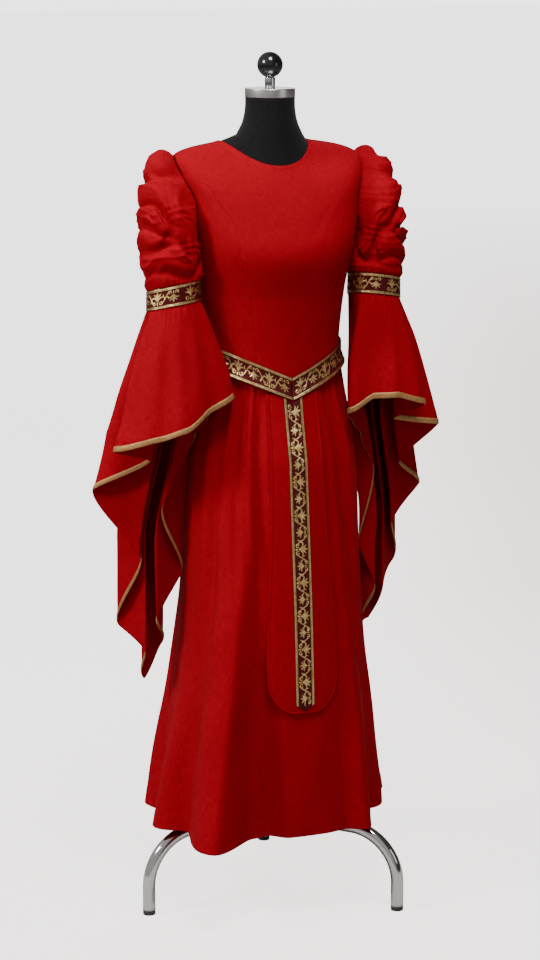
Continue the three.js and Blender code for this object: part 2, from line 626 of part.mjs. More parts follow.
// A leg leaves the hub, runs out level and bends down to its foot
class LegPath extends THREE.Curve {
  constructor(from, to, bend, top, foot) {
    super();
    Object.assign(this, { from, to, bend, top, foot });
    this.level = to - bend - from;
    this.arc = (Math.PI / 2) * bend;
    this.drop = top - bend - foot;
    this.total = this.level + this.arc + this.drop;
  }

  getPoint(t, target = new THREE.Vector3()) {
    const s = t * this.total;
    if (s < this.level) return target.set(this.from + s, 0, this.top);
    if (s < this.level + this.arc) {
      const a = (s - this.level) / this.bend;
      return target.set(this.to - this.bend + this.bend * Math.sin(a), 0, this.top - this.bend * (1 - Math.cos(a)));
    }
    return target.set(this.to, 0, this.top - this.bend - (s - this.level - this.arc));
  }
}
const LEG_Z = 156;               // centre of a leg where it leaves the hub
const LEG_BEND = 100;
for (const [k, turnBy] of [[1, -120], [2, 120], [3, 0]]) {
  const path = new LegPath(HUB.r + 0.3, LEG_REACH, LEG_BEND, LEG_Z, FOOT_PLUG + 0.3);
  const disc = new THREE.Shape().absarc(0, 0, TUBE_R, 0, 2 * Math.PI);
  const tube = new THREE.ExtrudeGeometry(disc, { steps: 12, curveSegments: 6, extrudePath: path });
  const direction = rad(90 + LEG_TURN - turnBy);
  add(`leg_${k}`, tube, CHROME).rotation.z = direction;
  const plug = turned([[0, 0], [TUBE_R - 1, 0], [TUBE_R, 1], [TUBE_R, FOOT_PLUG], [0, FOOT_PLUG]], 12);
  const foot = add(`foot_plug_${k}`, plug, GLOSS);
  foot.position.set(LEG_REACH * Math.cos(direction), LEG_REACH * Math.sin(direction), 0);
}

// The frame's origin is the middle of the footprint, on the floor
model.updateMatrixWorld(true);
const bounds = new THREE.Box3().setFromObject(model, true);
const middle = bounds.getCenter(new THREE.Vector3());
model.position.set(-middle.x, -middle.y, -bounds.min.z);

export default model;
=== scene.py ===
# A medieval gown on a dress form: the looks of each piece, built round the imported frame.
import math

import bpy
import numpy as np
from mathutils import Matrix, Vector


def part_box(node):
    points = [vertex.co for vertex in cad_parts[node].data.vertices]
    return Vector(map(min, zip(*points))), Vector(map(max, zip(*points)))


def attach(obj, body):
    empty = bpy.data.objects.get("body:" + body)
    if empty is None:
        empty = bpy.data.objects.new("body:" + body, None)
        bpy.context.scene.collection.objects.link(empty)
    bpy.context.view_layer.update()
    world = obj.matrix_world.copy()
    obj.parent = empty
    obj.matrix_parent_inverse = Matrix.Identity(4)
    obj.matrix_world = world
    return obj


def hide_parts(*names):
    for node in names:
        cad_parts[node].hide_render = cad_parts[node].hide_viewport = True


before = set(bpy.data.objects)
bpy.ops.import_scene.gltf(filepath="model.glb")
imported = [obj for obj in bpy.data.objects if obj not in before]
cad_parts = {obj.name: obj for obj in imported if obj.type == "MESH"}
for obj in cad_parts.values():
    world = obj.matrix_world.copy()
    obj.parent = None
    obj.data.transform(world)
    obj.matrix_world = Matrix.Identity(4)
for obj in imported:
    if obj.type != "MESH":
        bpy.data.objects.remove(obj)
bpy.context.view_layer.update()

# Sizes in millimetres, in a frame that stands on the pole's axis; angles in degrees,
# from the gown's front (0) through the wearer's left (90) to the back (180)
MM = 0.001
CLOTH = 1.6
RIBBON = 1.2
SEAM = 0.3
REST = 0.5
RIBBON_WIDTH = 37.0
BRAID_WIDTH = 11.0
BRAID = 1.4
HEM_Z = 171.0
CAP_TOP_Z = 1600.0
TUBE_R = 12.5
LEG_REACH = 282.0
LEG_TURN = -18.3
LEG_Z = 156.0
LEG_BEND = 100.0
FOOT_PLUG = 9.0
HUB_TOP = 186.0
FORM_BASE_Z = 830.0

pole_low, pole_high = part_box("pole")
AXIS = np.array([(pole_low[0] + pole_high[0]) / 2, (pole_low[1] + pole_high[1]) / 2, 0.0])


class Table:
    """Rows with named columns, read between the rows on a smooth curve."""

    def __init__(self, columns, *rows):
        self.data = {name: np.array([row[k] for row in rows], float)
                     for k, name in enumerate(columns.split())}
        self.last = len(rows) - 1

    def smooth(self, column, place):
        place = np.clip(np.asarray(place, float), 0, self.last)
        row = np.minimum(np.floor(place).astype(int), self.last - 1)
        t = place - row
        value = self.data[column]
        a, b, c, d = (value[np.clip(row + k, 0, self.last)] for k in (-1, 0, 1, 2))
        return b + 0.5 * t * (c - a + t * (2 * a - 5 * b + 4 * c - d + t * (3 * (b - c) + d - a)))

    def along(self, key, column, at):
        keys = self.data[key]
        order = keys if keys[1] > keys[0] else -keys
        at = np.asarray(at, float) if keys[1] > keys[0] else -np.asarray(at, float)
        row = np.clip(np.searchsorted(order, at, side="left") - 1, 0, self.last - 1)
        t = np.clip((at - order[row]) / (order[row + 1] - order[row]), 0, 1)
        return self.smooth(column, row + t)


# Rings of the dressed body from the neckline to the waist seam
BODY = Table(
    "x y z front_y front_z back_y back_z dip round",
    (87, 44, 1500, -61, 1457, 92, 1490, 2.2, 2.0),
    (184, 29, 1474, -94, 1404, 116, 1412, 2.0, 2.3),
    (173, 8, 1396, -120, 1350, 118, 1356, 2.0, 2.4),
    (160, -2, 1312, -140, 1290, 104, 1296, 2.0, 2.3),
    (145, -6, 1226, -122, 1204, 86, 1216, 1.6, 2.1),
    (135, -10, 1140, -111, 1100, 74, 1134, 1.2, 2.0),
    (134, -10, 1099, -113, 1039, 76, 1096, 1.0, 2.0),
)
ARMHOLE_FRONT = 19.0
ARMHOLE_BACK = 15.0
UNDERARM_RING = 3
WAIST_RING = 6

SKIRT = Table(
    "down x front_y back_y centre_y",
    (0, 135, -114, 77, -10),
    (1, 170, -146, 150, 0),
    (2, 182, -178, 192, 0),
    (3, 222, -196, 232, 0),
)
SKIRT_LEVELS = (900.0, 560.0, HEM_Z)

# Large folds of the skirt, as the solid has them
FOLDS = Table(
    "top hem reach before after start",
    (-38, -39, 104, 30, 12, 900),
    (-62, -80, 40, 20, 18, 640),
    (-22, -20, -20, 8, 12, 620),
    (34, 31, 34, 9, 14, 860),
    (57, 56, -22, 9, 12, 760),
    (60, 74, 6, 10, 10, 1000),
    (96, 99, 42, 14, 16, 520),
    (122, 126, -30, 14, 14, 800),
    (146, 151, 34, 15, 13, 900),
    (166, 172, -28, 12, 13, 760),
    (-168, -164, 30, 13, 14, 940),
    (-146, -141, -34, 14, 13, 820),
    (-122, -116, 32, 15, 14, 700),
)

PANEL = Table("z half", (1031, 52), (800, 57), (560, 71), (500, 73))
PANEL_TOP_Z, PANEL_END_Z = 1031.0, 417.0
PANEL_CORNER = 66.0
TRIM_TOP_Z = 1012.0
TRIM_END_Z = 431.0
BELT_SLOPE = 0.6
PANEL_OUT = 2.2 + CLOTH

BAND_X, BAND_Y, BAND_Z, BAND_R = 206.0, -27.0, 1216.0, 50.0
BAND_TILT_IN, BAND_TILT_FRONT = 9.0, 10.0
PUFF = 34.0
RIDGE_HIGH, RIDGE_SAG, ARM_ROUND = 5.0, 0.11, 55.0
RIDGES = {-1: (1518, 1455, 1396, 1352, 1272, 1215, 1150), 1: (1510, 1448, 1388, 1336, 1276, 1222, 1160)}
FORKS = Table("at z hand", (30, 1338, 1), (118, 1296, -1), (-20, 1290, 1), (160, 1388, 1), (214, 1330, -1))
LEAN = {-1: 50.0, 1: 28.0}
LEAN_FROM, LEAN_OVER = 200, 280
CLEAR = 3.5
BELT_CLEAR, BELT_LOW_Z = 8.0, 1018.0

BELL_RIGHT_ARM = Table(
    "at reach depth",
    (-58, 122, 188), (-24, 92, 216), (4, 104, 246), (30, 98, 262), (76, 122, 286), (94, 30, 316),
    (116, 126, 376), (134, 20, 516), (152, 92, 652), (170, 24, 700), (188, 84, 770), (214, 78, 694),
    (232, 18, 640), (250, 76, 545), (268, 16, 412), (286, 44, 270)
)
BELL_LEFT_ARM = Table(
    "at reach depth",
    (-50, 104, 236), (-22, 84, 208), (8, 92, 206), (38, 116, 222), (56, 40, 262), (76, 124, 276),
    (96, 44, 356), (114, 104, 412), (130, 30, 480), (146, 98, 572), (162, 30, 610), (178, 84, 690),
    (212, 62, 700), (234, 18, 610), (256, 52, 512), (274, 14, 360), (292, 44, 290)
)


# Sums and shapes that the pieces share
def sin(angle):
    return np.sin(np.radians(angle))


def cos(angle):
    return np.cos(np.radians(angle))


def lerp(a, b, t):
    return a + (b - a) * t


def ramp(value, low, high):
    """0 below low, 1 above high, eased between."""
    t = np.clip((value - low) / (high - low), 0, 1)
    return t * t * (3 - 2 * t)


def points(x, y, z):
    x, y, z = np.broadcast_arrays(x, y, z)
    return np.stack([x, y, z], axis=-1).astype(float)


def unit(vectors):
    return vectors / np.maximum(np.linalg.norm(vectors, axis=-1, keepdims=True), 1e-9)


def normals(grid, around):
    """Outward directions of a grid whose rows run down and columns turn to the wearer's left."""
    down = np.gradient(grid, axis=0)
    if around:
        across = np.roll(grid, -1, axis=1) - np.roll(grid, 1, axis=1)
    else:
        across = np.gradient(grid, axis=1)
    return unit(np.cross(down, across))


def hump(value, at, width):
    """A smooth hump, 1 high at its place."""
    return np.exp(-((value - at) / width) ** 2)


def raised(grid, lift, around=False):
    return grid + normals(grid, around) * lift[..., None]


def circle(cols):
    return np.linspace(0, 360, cols, endpoint=False)


def paired(*values):
    return np.broadcast_arrays(*(np.asarray(value, float) for value in values))


def ruffle(seed, *waves):
    """A fixed wavering from a few sines: each wave is (values, cycles, size)."""
    total = 0.0
    for k, (values, cycles, size) in enumerate(waves):
        total = total + size * np.sin(2 * np.pi * cycles * values + 1.7 * seed + 2.4 * k)
    return total


CREASE = "from_a from_d to_a to_d bow width depth"


def creases(grid, across, down, table):
    """Push soft troughs (depth under 0) and ridges into a cloth grid along its own normals.

    across and down are the grid's own lengths in mm; each row of the table is a crease from
    one place to another with a bow to its side, a width and a depth.
    """
    lift = np.zeros(across.shape)
    for k in range(table.last + 1):
        row = {name: column[k] for name, column in table.data.items()}
        start = np.array([row["from_a"], row["from_d"]])
        end = np.array([row["to_a"], row["to_d"]])
        run = end - start
        length = np.linalg.norm(run)
        way = run / length
        side = np.array([-way[1], way[0]])
        t = ((across - start[0]) * way[0] + (down - start[1]) * way[1]) / length
        off = (across - start[0]) * side[0] + (down - start[1]) * side[1]
        off = off - row["bow"] * 4 * t * (1 - t)
        taper = ramp(t, -0.12, 0.3) * (1 - ramp(t, 0.65, 1.12))
        lift = lift + row["depth"] * hump(off, 0, row["width"]) * taper
    return raised(grid, lift)


# The body's and the skirt's surfaces
def body_point(angle, place):
    angle, place = paired(angle, place)
    read = {name: BODY.smooth(name, place) for name in BODY.data}
    power = 2 / read["round"]
    front = cos(angle) >= 0
    out = np.abs(cos(angle)) ** power
    fall = 1 - np.abs(sin(angle)) ** read["dip"]
    y = lerp(read["y"], np.where(front, read["front_y"], read["back_y"]), out)
    z = lerp(read["z"], np.where(front, read["front_z"], read["back_z"]), fall)
    return points(np.sign(sin(angle)) * read["x"] * np.abs(sin(angle)) ** power, y, z)


def seam_z(angle):
    return body_point(angle, WAIST_RING)[..., 2] - SEAM


def fold_reach(angle, z):
    reach = np.zeros(np.broadcast(angle, z).shape)
    high = np.clip((z - HEM_Z) / (1000 - HEM_Z), 0, 1)
    for k in range(FOLDS.last + 1):
        top, hem, size, before, after, start = (FOLDS.data[name][k] for name in
                                               ("top", "hem", "reach", "before", "after", "start"))
        grown = np.clip((start - z) / (start - HEM_Z), 0, 1) ** 1.25
        off = (angle - lerp(hem, top, high) + 180) % 360 - 180
        width = np.where(off < 0, before, after)
        wave = np.where(np.abs(off) < width, 0.5 * (1 + np.cos(np.pi * off / width)), 0)
        reach = reach + size * grown * wave
    return reach


def skirt_at(angle, z, folded=True):
    """Skirt surface at an angle and a height."""
    angle, z = paired(angle, z)
    top = seam_z(angle)
    first, second, third = SKIRT_LEVELS
    place = np.where(z > first, (top - z) / (top - first),
                     np.where(z > second, 1 + (first - z) / (first - second),
                              2 + (second - z) / (second - third)))
    read = {name: SKIRT.smooth(name, place) for name in ("x", "front_y", "back_y", "centre_y")}
    far = np.where(cos(angle) >= 0, read["front_y"], read["back_y"])
    reach = fold_reach(angle, z) if folded else 0
    x = (read["x"] + reach) * sin(angle)
    y = lerp(read["centre_y"], far, np.abs(cos(angle))) - reach * cos(angle)
    return points(x, y, z)


def skirt_point(angle, t):
    return skirt_at(angle, lerp(seam_z(angle), HEM_Z, t))


def front_point(x, z, out):
    """The skirt's plain front at a width and a height, moved out."""
    x, z, out = np.broadcast_arrays(x, z, out)
    angle = np.zeros(x.shape)
    for _ in range(12):
        here = skirt_at(angle, np.minimum(z, seam_z(angle)), False)
        angle = angle + np.degrees((x - here[..., 0]) / np.abs(here[..., 1]))
    here = skirt_at(angle, np.minimum(z, seam_z(angle)), False)
    return points(x, here[..., 1] - out, z)


# Meshes
def make(name, verts, faces, material, uv):
    """A mesh object from points in mm, riding on the one body."""
    mesh = bpy.data.meshes.new(name)
    mesh.from_pydata((np.asarray(verts).reshape(-1, 3) * MM + AXIS).tolist(), [], faces)
    mesh.materials.append(material)
    layer = mesh.uv_layers.new(name="cloth")
    loops = np.empty(len(mesh.loops), dtype=np.int32)
    mesh.loops.foreach_get("vertex_index", loops)
    layer.data.foreach_set("uv", (np.asarray(uv).reshape(-1, 2) * MM)[loops].ravel())
    mesh.polygons.foreach_set("use_smooth", [True] * len(mesh.polygons))
    mesh.update()
    piece = bpy.data.objects.new(name, mesh)
    bpy.context.collection.objects.link(piece)
    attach(piece, "root")
    return piece


def strip_faces(rows, cols, around, offset=0, flip=False):
    i = np.arange(rows - 1)[:, None]
    j = np.arange(cols if around else cols - 1)[None, :]
    k = (j + 1) % cols
    quad = [i * cols + j, (i + 1) * cols + j, (i + 1) * cols + k, i * cols + k]
    if flip:
        quad = quad[::-1]
    return (np.stack([np.broadcast_to(q, (rows - 1, j.shape[1])) for q in quad], -1)
            .reshape(-1, 4) + offset)


def lengths(grid, around):
    """How far each point lies across and down the cloth, in mm."""
    steps_down = np.linalg.norm(np.diff(grid, axis=0), axis=-1)
    down = np.concatenate([np.zeros((1, grid.shape[1])), np.cumsum(steps_down, axis=0)])
    steps = np.linalg.norm(np.diff(grid, axis=1), axis=-1)
    middle = steps[len(steps) // 2]
    across = np.concatenate([[0], np.cumsum(middle)])
    return np.broadcast_to(across, down.shape), down


def cloth(name, grid, thickness, around, material):
    """A thin closed shell: the outer grid, an inner one, and a rounded turned edge between."""
    rows, cols = grid.shape[:2]
    out = normals(grid, around)
    inner = grid - out * thickness
    middle = grid - out * thickness * 0.5
    across, down = lengths(grid, around)
    uv = np.stack([across, down], -1)
    edge = 0.45 * thickness
    fall = unit(grid[-1] - grid[-2])
    rise = unit(grid[0] - grid[1])
    verts = [grid.reshape(-1, 3), inner.reshape(-1, 3),
             middle[0] + rise * edge, middle[-1] + fall * edge]
    uvs = [uv.reshape(-1, 2), uv.reshape(-1, 2), uv[0], uv[-1]]
    faces = [strip_faces(rows, cols, around), strip_faces(rows, cols, around, rows * cols, True)]
    n = rows * cols
    j = np.arange(cols if around else cols - 1)
    k = (j + 1) % cols
    top, low = 2 * n, 2 * n + cols
    last = (rows - 1) * cols
    faces.append(np.stack([top + j, j, k, top + k], -1))
    faces.append(np.stack([top + k, n + k, n + j, top + j], -1))
    faces.append(np.stack([last + j, low + j, low + k, last + k], -1))
    faces.append(np.stack([n + last + k, low + k, low + j, n + last + j], -1))
    if not around:
        i = np.arange(rows - 1)
        faces.append(np.stack([i * cols, n + i * cols, n + (i + 1) * cols, (i + 1) * cols], -1))
        end = cols - 1
        faces.append(np.stack([i * cols + end, (i + 1) * cols + end, n + (i + 1) * cols + end,
                               n + i * cols + end], -1))
    listed = [face.tolist() for block in faces for face in block]
    if not around:
        listed += [[0, top, n], [cols - 1, n + cols - 1, top + cols - 1],
                   [last, n + last, low], [last + cols - 1, low + cols - 1, n + last + cols - 1]]
    return make(name, np.concatenate(verts), listed, material, np.concatenate(uvs))


# Finishes
class Value:
    """A number on a shader socket that does sums with other numbers and sockets."""

    def __init__(self, finish, socket):
        self.finish = finish
        self.socket = socket

    def sum(self, operation, *others):
        return self.finish.node("ShaderNodeMath", {"operation": operation}, self, *others)

    def __add__(self, other):
        return self.sum("ADD", other)

    def __mul__(self, other):
        return self.sum("MULTIPLY", other)

    def __rsub__(self, other):
        return self.finish.node("ShaderNodeMath", {"operation": "SUBTRACT"}, other, self)

    __radd__ = __add__
    __rmul__ = __mul__

    def sin(self):
        return self.sum("SINE")

    def absolute(self):
        return self.sum("ABSOLUTE")

    def step(self, low, high):
        """0 below low, 1 above high."""
        return self.finish.node("ShaderNodeMapRange", {"clamp": True}, self, low, high, 0.0, 1.0)


class Finish:
    """A material whose nodes are added by one method."""

    def __init__(self, name, color, **constants):
        self.material = bpy.data.materials.new(name)
        self.material.use_nodes = True
        self.material.diffuse_color = (*color, 1)
        self.tree = self.material.node_tree
        self.shader = self.tree.nodes["Principled BSDF"]
        self.shader.inputs["Base Color"].default_value = (*color, 1)
        for key, value in constants.items():
            self.shader.inputs[key.replace("_", " ")].default_value = value
        self.uv = self.tree.nodes.new("ShaderNodeTexCoord").outputs["UV"]
        self.place = self.uv.node.outputs["Object"]

    def node(self, kind, settings, *inputs):
        made = self.tree.nodes.new(kind)
        for key, value in settings.items():
            setattr(made, key, value)
        for socket, value in zip(made.inputs, inputs):
            self.fill(socket, value)
        return Value(self, made.outputs[0])

    def fill(self, socket, value):
        if isinstance(value, Value):
            value = value.socket
        if isinstance(value, bpy.types.NodeSocket):
            self.tree.links.new(value, socket)
        elif value is not None:
            socket.default_value = value

    def axes(self, source):
        """The separate numbers of a coordinate."""
        split = self.node("ShaderNodeSeparateXYZ", {}, source).socket.node
        return [Value(self, socket) for socket in split.outputs]

    def stretched(self, source, *scale):
        return self.node("ShaderNodeVectorMath", {"operation": "MULTIPLY"}, source, scale)

    def noise(self, source, scale, detail=2.0, rough=0.5):
        return self.node("ShaderNodeTexNoise", {}, source, None, scale, detail, rough)

    def blend(self, factor, first, second):
        mixed = self.tree.nodes.new("ShaderNodeMix")
        mixed.data_type = "RGBA"
        self.fill(mixed.inputs["Factor"], factor)
        for name, value in (("A", first), ("B", second)):
            socket = next(s for s in mixed.inputs if s.name == name and s.type == "RGBA")
            self.fill(socket, value if isinstance(value, Value) else (*value, 1))
        return Value(self, next(s for s in mixed.outputs if s.type == "RGBA"))

    def show(self, **inputs):
        for key, value in inputs.items():
            self.fill(self.shader.inputs[key.replace("_", " ")], value)

    def relief(self, height, distance, strength=1.0):
        bump = self.tree.nodes.new("ShaderNodeBump")
        bump.inputs["Strength"].default_value = strength
        bump.inputs["Distance"].default_value = distance
        self.fill(bump.inputs["Height"], height)
        self.fill(self.shader.inputs["Normal"], bump.outputs["Normal"])


# Distances from thread to thread, in metres
WEAVE, RIB, TWIST, KNIT_ACROSS, KNIT_DOWN = 0.0011, 0.0012, 0.0009, 0.0010, 0.0008


def turns_at(pitch):
    return 2 * math.pi / pitch


def woven(finish, pitch):
    """Height of a plain weave: threads over and under in both directions, in UV metres."""
    u, v, _ = finish.axes(finish.uv)
    turns = turns_at(pitch)
    warp = (u * turns).sin().absolute()
    weft = (v * turns).sin().absolute()
    over = (u * (turns / 2)).sin() * (v * (turns / 2)).sin()
    return warp * 0.5 + weft * 0.5 + over * 0.4


def gown_cloth():
    red = Finish("gown cloth", (0.34, 0.001, 0.008), Roughness=0.95, Sheen_Weight=0.06,
                 Sheen_Roughness=0.4, Sheen_Tint=(1.0, 0.06, 0.06, 1), Specular_IOR_Level=0.06)
    slub_across = red.noise(red.stretched(red.uv, 60.0, 900.0, 1.0), 1.0, 3.0, 0.6)
    slub_down = red.noise(red.stretched(red.uv, 900.0, 60.0, 1.0), 1.0, 3.0, 0.6)
    heather = slub_across.step(0.35, 0.7) * 0.5 + slub_down.step(0.35, 0.7) * 0.5
    cloud = red.noise(red.place, 5.0, 3.0, 0.6).step(0.3, 0.7)
    base = red.blend(heather, (0.21, 0.0006, 0.0055), (0.45, 0.0018, 0.0125))
    base = red.blend(cloud * 0.3, base, (0.22, 0.0006, 0.005))
    red.show(Base_Color=base, Roughness=0.86 + heather * 0.1)
    red.relief(woven(red, WEAVE) * 0.6 + slub_across * 0.7 + slub_down * 0.7, 0.0004, 0.45)
    return red.material


def ribbon_ground():
    wine = Finish("ribbon ground", (0.060, 0.001, 0.002), Roughness=0.6, Specular_IOR_Level=0.15)
    rib = (wine.axes(wine.uv)[0] * turns_at(RIB)).sin()
    tone = wine.noise(wine.stretched(wine.uv, 40.0, 700.0, 1.0), 1.0, 2.0, 0.5)
    base = wine.blend(tone.step(0.3, 0.7), (0.045, 0.0008, 0.0015), (0.085, 0.0015, 0.003))
    wine.show(Base_Color=base)
    wine.relief(rib * 0.5 + tone, 0.0003, 0.5)
    return wine.material


def gold_thread():
    gold = Finish("gold thread", (0.86, 0.60, 0.22), Metallic=1.0, Roughness=0.3,
                  Specular_IOR_Level=0.5)
    u, v, _ = gold.axes(gold.uv)
    threads = ((u + v) * turns_at(TWIST)).sin()
    wear = gold.noise(gold.place, 160.0, 2.0, 0.6)
    base = gold.blend(wear.step(0.35, 0.75), (0.70, 0.43, 0.12), (1.0, 0.80, 0.42))
    gold.show(Base_Color=base, Roughness=0.22 + wear * 0.2)
    gold.relief(threads * 0.5 + wear, 0.0002, 0.5)
    return gold.material


def braid_thread():
    braid = Finish("hem braid", (0.60, 0.35, 0.13), Metallic=0.6, Roughness=0.4,
                   Specular_IOR_Level=0.5)
    # bright points painted into the braid's colour stand for its glints: painted highlights; the same
    # points also set its roughness and relief
    glint = braid.node("ShaderNodeTexVoronoi", {}, braid.place, None, 900.0)
    base = braid.blend(glint.step(0.1, 0.6), (0.80, 0.50, 0.20), (0.30, 0.13, 0.04))
    braid.show(Base_Color=base, Roughness=0.35 + glint * 0.4)
    braid.relief(1 - glint, 0.0004, 0.6)
    return braid.material


def jersey():
    black = Finish("black jersey", (0.006, 0.006, 0.006), Roughness=0.9, Sheen_Weight=0.05,
                   Sheen_Roughness=0.5, Specular_IOR_Level=0.12)
    u, v, _ = black.axes(black.uv)
    stitch = (u * turns_at(KNIT_ACROSS)).sin().absolute() + (v * turns_at(KNIT_DOWN)).sin() * 0.4
    fluff = black.noise(black.place, 300.0, 2.0, 0.5)
    base = black.blend(fluff.step(0.4, 0.8), (0.004, 0.004, 0.004), (0.009, 0.009, 0.009))
    black.show(Base_Color=base)
    black.relief(stitch * 0.4 + fluff * 0.6, 0.0003, 0.4)
    return black.material


def chrome(name, rough, grain):
    plate = Finish(name, (0.74, 0.73, 0.72), Metallic=1.0, Roughness=rough)
    streak = plate.noise(plate.stretched(plate.place, 20.0, 20.0, 900.0), 1.0, 2.0, 0.5)
    smear = plate.noise(plate.place, 14.0, 3.0, 0.6)
    plate.show(Roughness=rough + streak * grain + smear * 0.05)
    plate.relief(streak, 0.0001, 0.15 if grain > 0.1 else 0.03)
    return plate.material


def black_plastic():
    gloss = Finish("black gloss", (0.006, 0.006, 0.007), Roughness=0.16, Coat_Weight=0.4,
                   Coat_Roughness=0.08)
    dust = gloss.noise(gloss.place, 40.0, 4.0, 0.6)
    gloss.show(Roughness=0.13 + dust.step(0.4, 0.8) * 0.14)
    return gloss.material


RED = gown_cloth()
WINE = ribbon_ground()
GOLD = gold_thread()
TAN = braid_thread()
BLACK = jersey()
CHROME = chrome("chrome", 0.05, 0.05)
SATIN = chrome("turned cap metal", 0.22, 0.16)
GLOSS = black_plastic()


def dress(piece, node):
    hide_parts(node)


# Bodice
def side_angle(place, cut):
    t = np.clip((place - 1) / (UNDERARM_RING - 1), 0, 1)
    return 90 - cut * np.sin(np.pi * t) ** 0.8


def bodice_grid(front, rows, cols):
    place = np.linspace(0, WAIST_RING, rows)[:, None]
    side = side_angle(place, ARMHOLE_FRONT if front else ARMHOLE_BACK) - 0.2
    angle = (0 if front else 180) + side * np.linspace(-1, 1, cols)[None, :]
    return body_point(angle, place)


# Creases of the bodice front, in mm across from the wearer's right side and down from the neckline
BODICE_CREASES = Table(
    CREASE,
    (60, 120, 118, 150, 6, 13, -0.9), (62, 148, 104, 196, 4, 10, -0.7),
    (330, 120, 276, 156, -6, 13, -0.8), (332, 150, 292, 204, -4, 10, -0.6),
    (86, 300, 150, 352, 3, 9, -0.9), (300, 306, 246, 350, -3, 9, -0.8),
    (120, 330, 196, 372, 4, 8, -0.7), (286, 338, 214, 376, -4, 8, -0.6),
    (150, 20, 180, 90, 3, 14, -0.6), (236, 24, 214, 92, -3, 14, -0.6),
)
BACK_CREASES = Table(
    CREASE,
    (60, 110, 120, 150, 5, 13, -1.1), (300, 112, 238, 152, -5, 13, -1.0),
    (70, 300, 140, 330, 3, 9, -0.9), (286, 296, 214, 332, -3, 9, -0.8),
    (96, 338, 168, 362, 2, 8, -0.7), (262, 342, 196, 364, -2, 8, -0.7),
)


PUCKER = 0.35
FACING, FACING_HIGH = 9.0, 0.5
OUTSIDE = -999


def seam_groove(grid, across, down, line, depth=1.3, width=2.2):
    """A stitched seam along a line of places across the cloth, one for each row."""
    off = across - line[:, None]
    wave = 1 + 0.5 * np.sin(down / 5.5) + 0.3 * np.sin(down / 2.3)
    lift = -depth * hump(off, 0, width)
    lift = lift + PUCKER * wave * hump(np.abs(off), 5, 4)
    return raised(grid, lift)


def turned_edge(grid):
    """A faced edge: the cloth is a little thicker along its first row, with a stitch line."""
    down = lengths(grid, False)[1]
    lift = FACING_HIGH * (1 - ramp(down, FACING - 1.5, FACING + 1.5))
    return raised(grid, lift - 0.5 * hump(down, FACING, 1.2))


def bodices():
    rows = 120
    grid = bodice_grid(True, rows, 150)
    across, down = lengths(grid, False)
    grid = creases(grid, across, down, BODICE_CREASES)
    place = np.linspace(0, WAIST_RING, rows)
    middle = across[0, -1] / 2
    for side in (-1, 1):
        bend = np.interp(place, [1.6, 2.2, 3.0, 4.0, 6.0], [158, 128, 108, 92, 82])
        line = np.where(place > 1.6, middle + side * bend, OUTSIDE)
        grid = seam_groove(grid, across, down, line)
    grid = turned_edge(grid)
    dress(cloth("gown_bodice_front", grid, CLOTH, False, RED), "bodice_front")

    rows = 100
    grid = bodice_grid(False, rows, 134)
    across, down = lengths(grid, False)
    grid = creases(grid, across, down, BACK_CREASES)
    middle = across[0, -1] / 2
    grid = seam_groove(grid, across, down, np.full(rows, middle), depth=1.6, width=1.8)
    for side in (-1, 1):
        dart = np.where(np.linspace(0, WAIST_RING, rows) > 2.6, middle + side * 78, OUTSIDE)
        grid = seam_groove(grid, across, down, dart)
    grid = turned_edge(grid)
    dress(cloth("gown_bodice_back", grid, CLOTH, False, RED), "bodice_back")


# Skirt
SKIRT_CREASES = Table(
    CREASE,
    (88, 20, 76, 560, 8, 10, -8.0), (122, 14, 128, 480, 6, 9, -7.2), (150, 30, 160, 420, 4, 12, 5.8),
    (172, 20, 184, 380, 5, 8, -6.4), (60, 60, 40, 640, -8, 16, 8.0), (206, 40, 204, 300, 3, 8, -3.8),
    (262, 12, 272, 520, -6, 7, -7.8), (274, 12, 292, 560, -6, 10, 6.1), (300, 18, 330, 640, -8, 10, -8.7),
    (316, 60, 356, 600, -6, 16, 7.0), (344, 30, 372, 560, -4, 11, -6.4), (236, 50, 244, 340, 4, 9, -3.8),
    (100, 420, 96, 860, 4, 22, 7.2), (140, 460, 150, 860, -4, 20, -5.8), (330, 480, 352, 860, 4, 24, 7.2),
)


def skirt_grid(start, stop, rows, cols):
    t = 1 - (1 - np.linspace(0, 1, rows)[:, None]) ** 1.3
    return skirt_point(np.linspace(start, stop, cols)[None, :], t)


HEM_STITCH = 32


def hem_fold(grid):
    """The turned-up hem: a shade thicker, with the stitching's faint dimples above it."""
    across, down = lengths(grid, False)
    up = down[-1:] - down
    stitch = 0.35 * hump(up, HEM_STITCH, 2.2) * (1 + 0.8 * np.sin(across / 3.1))
    return raised(grid, 0.5 * (1 - ramp(up, HEM_STITCH - 4, HEM_STITCH + 2)) - stitch)


SEAM_TURN = 0.03
TUCKS, TUCK_DEEP = 15, 4.2
HALVES = (("front", 0, 224, 1, 0.86), ("back", 180, 206, 4, 0.84))


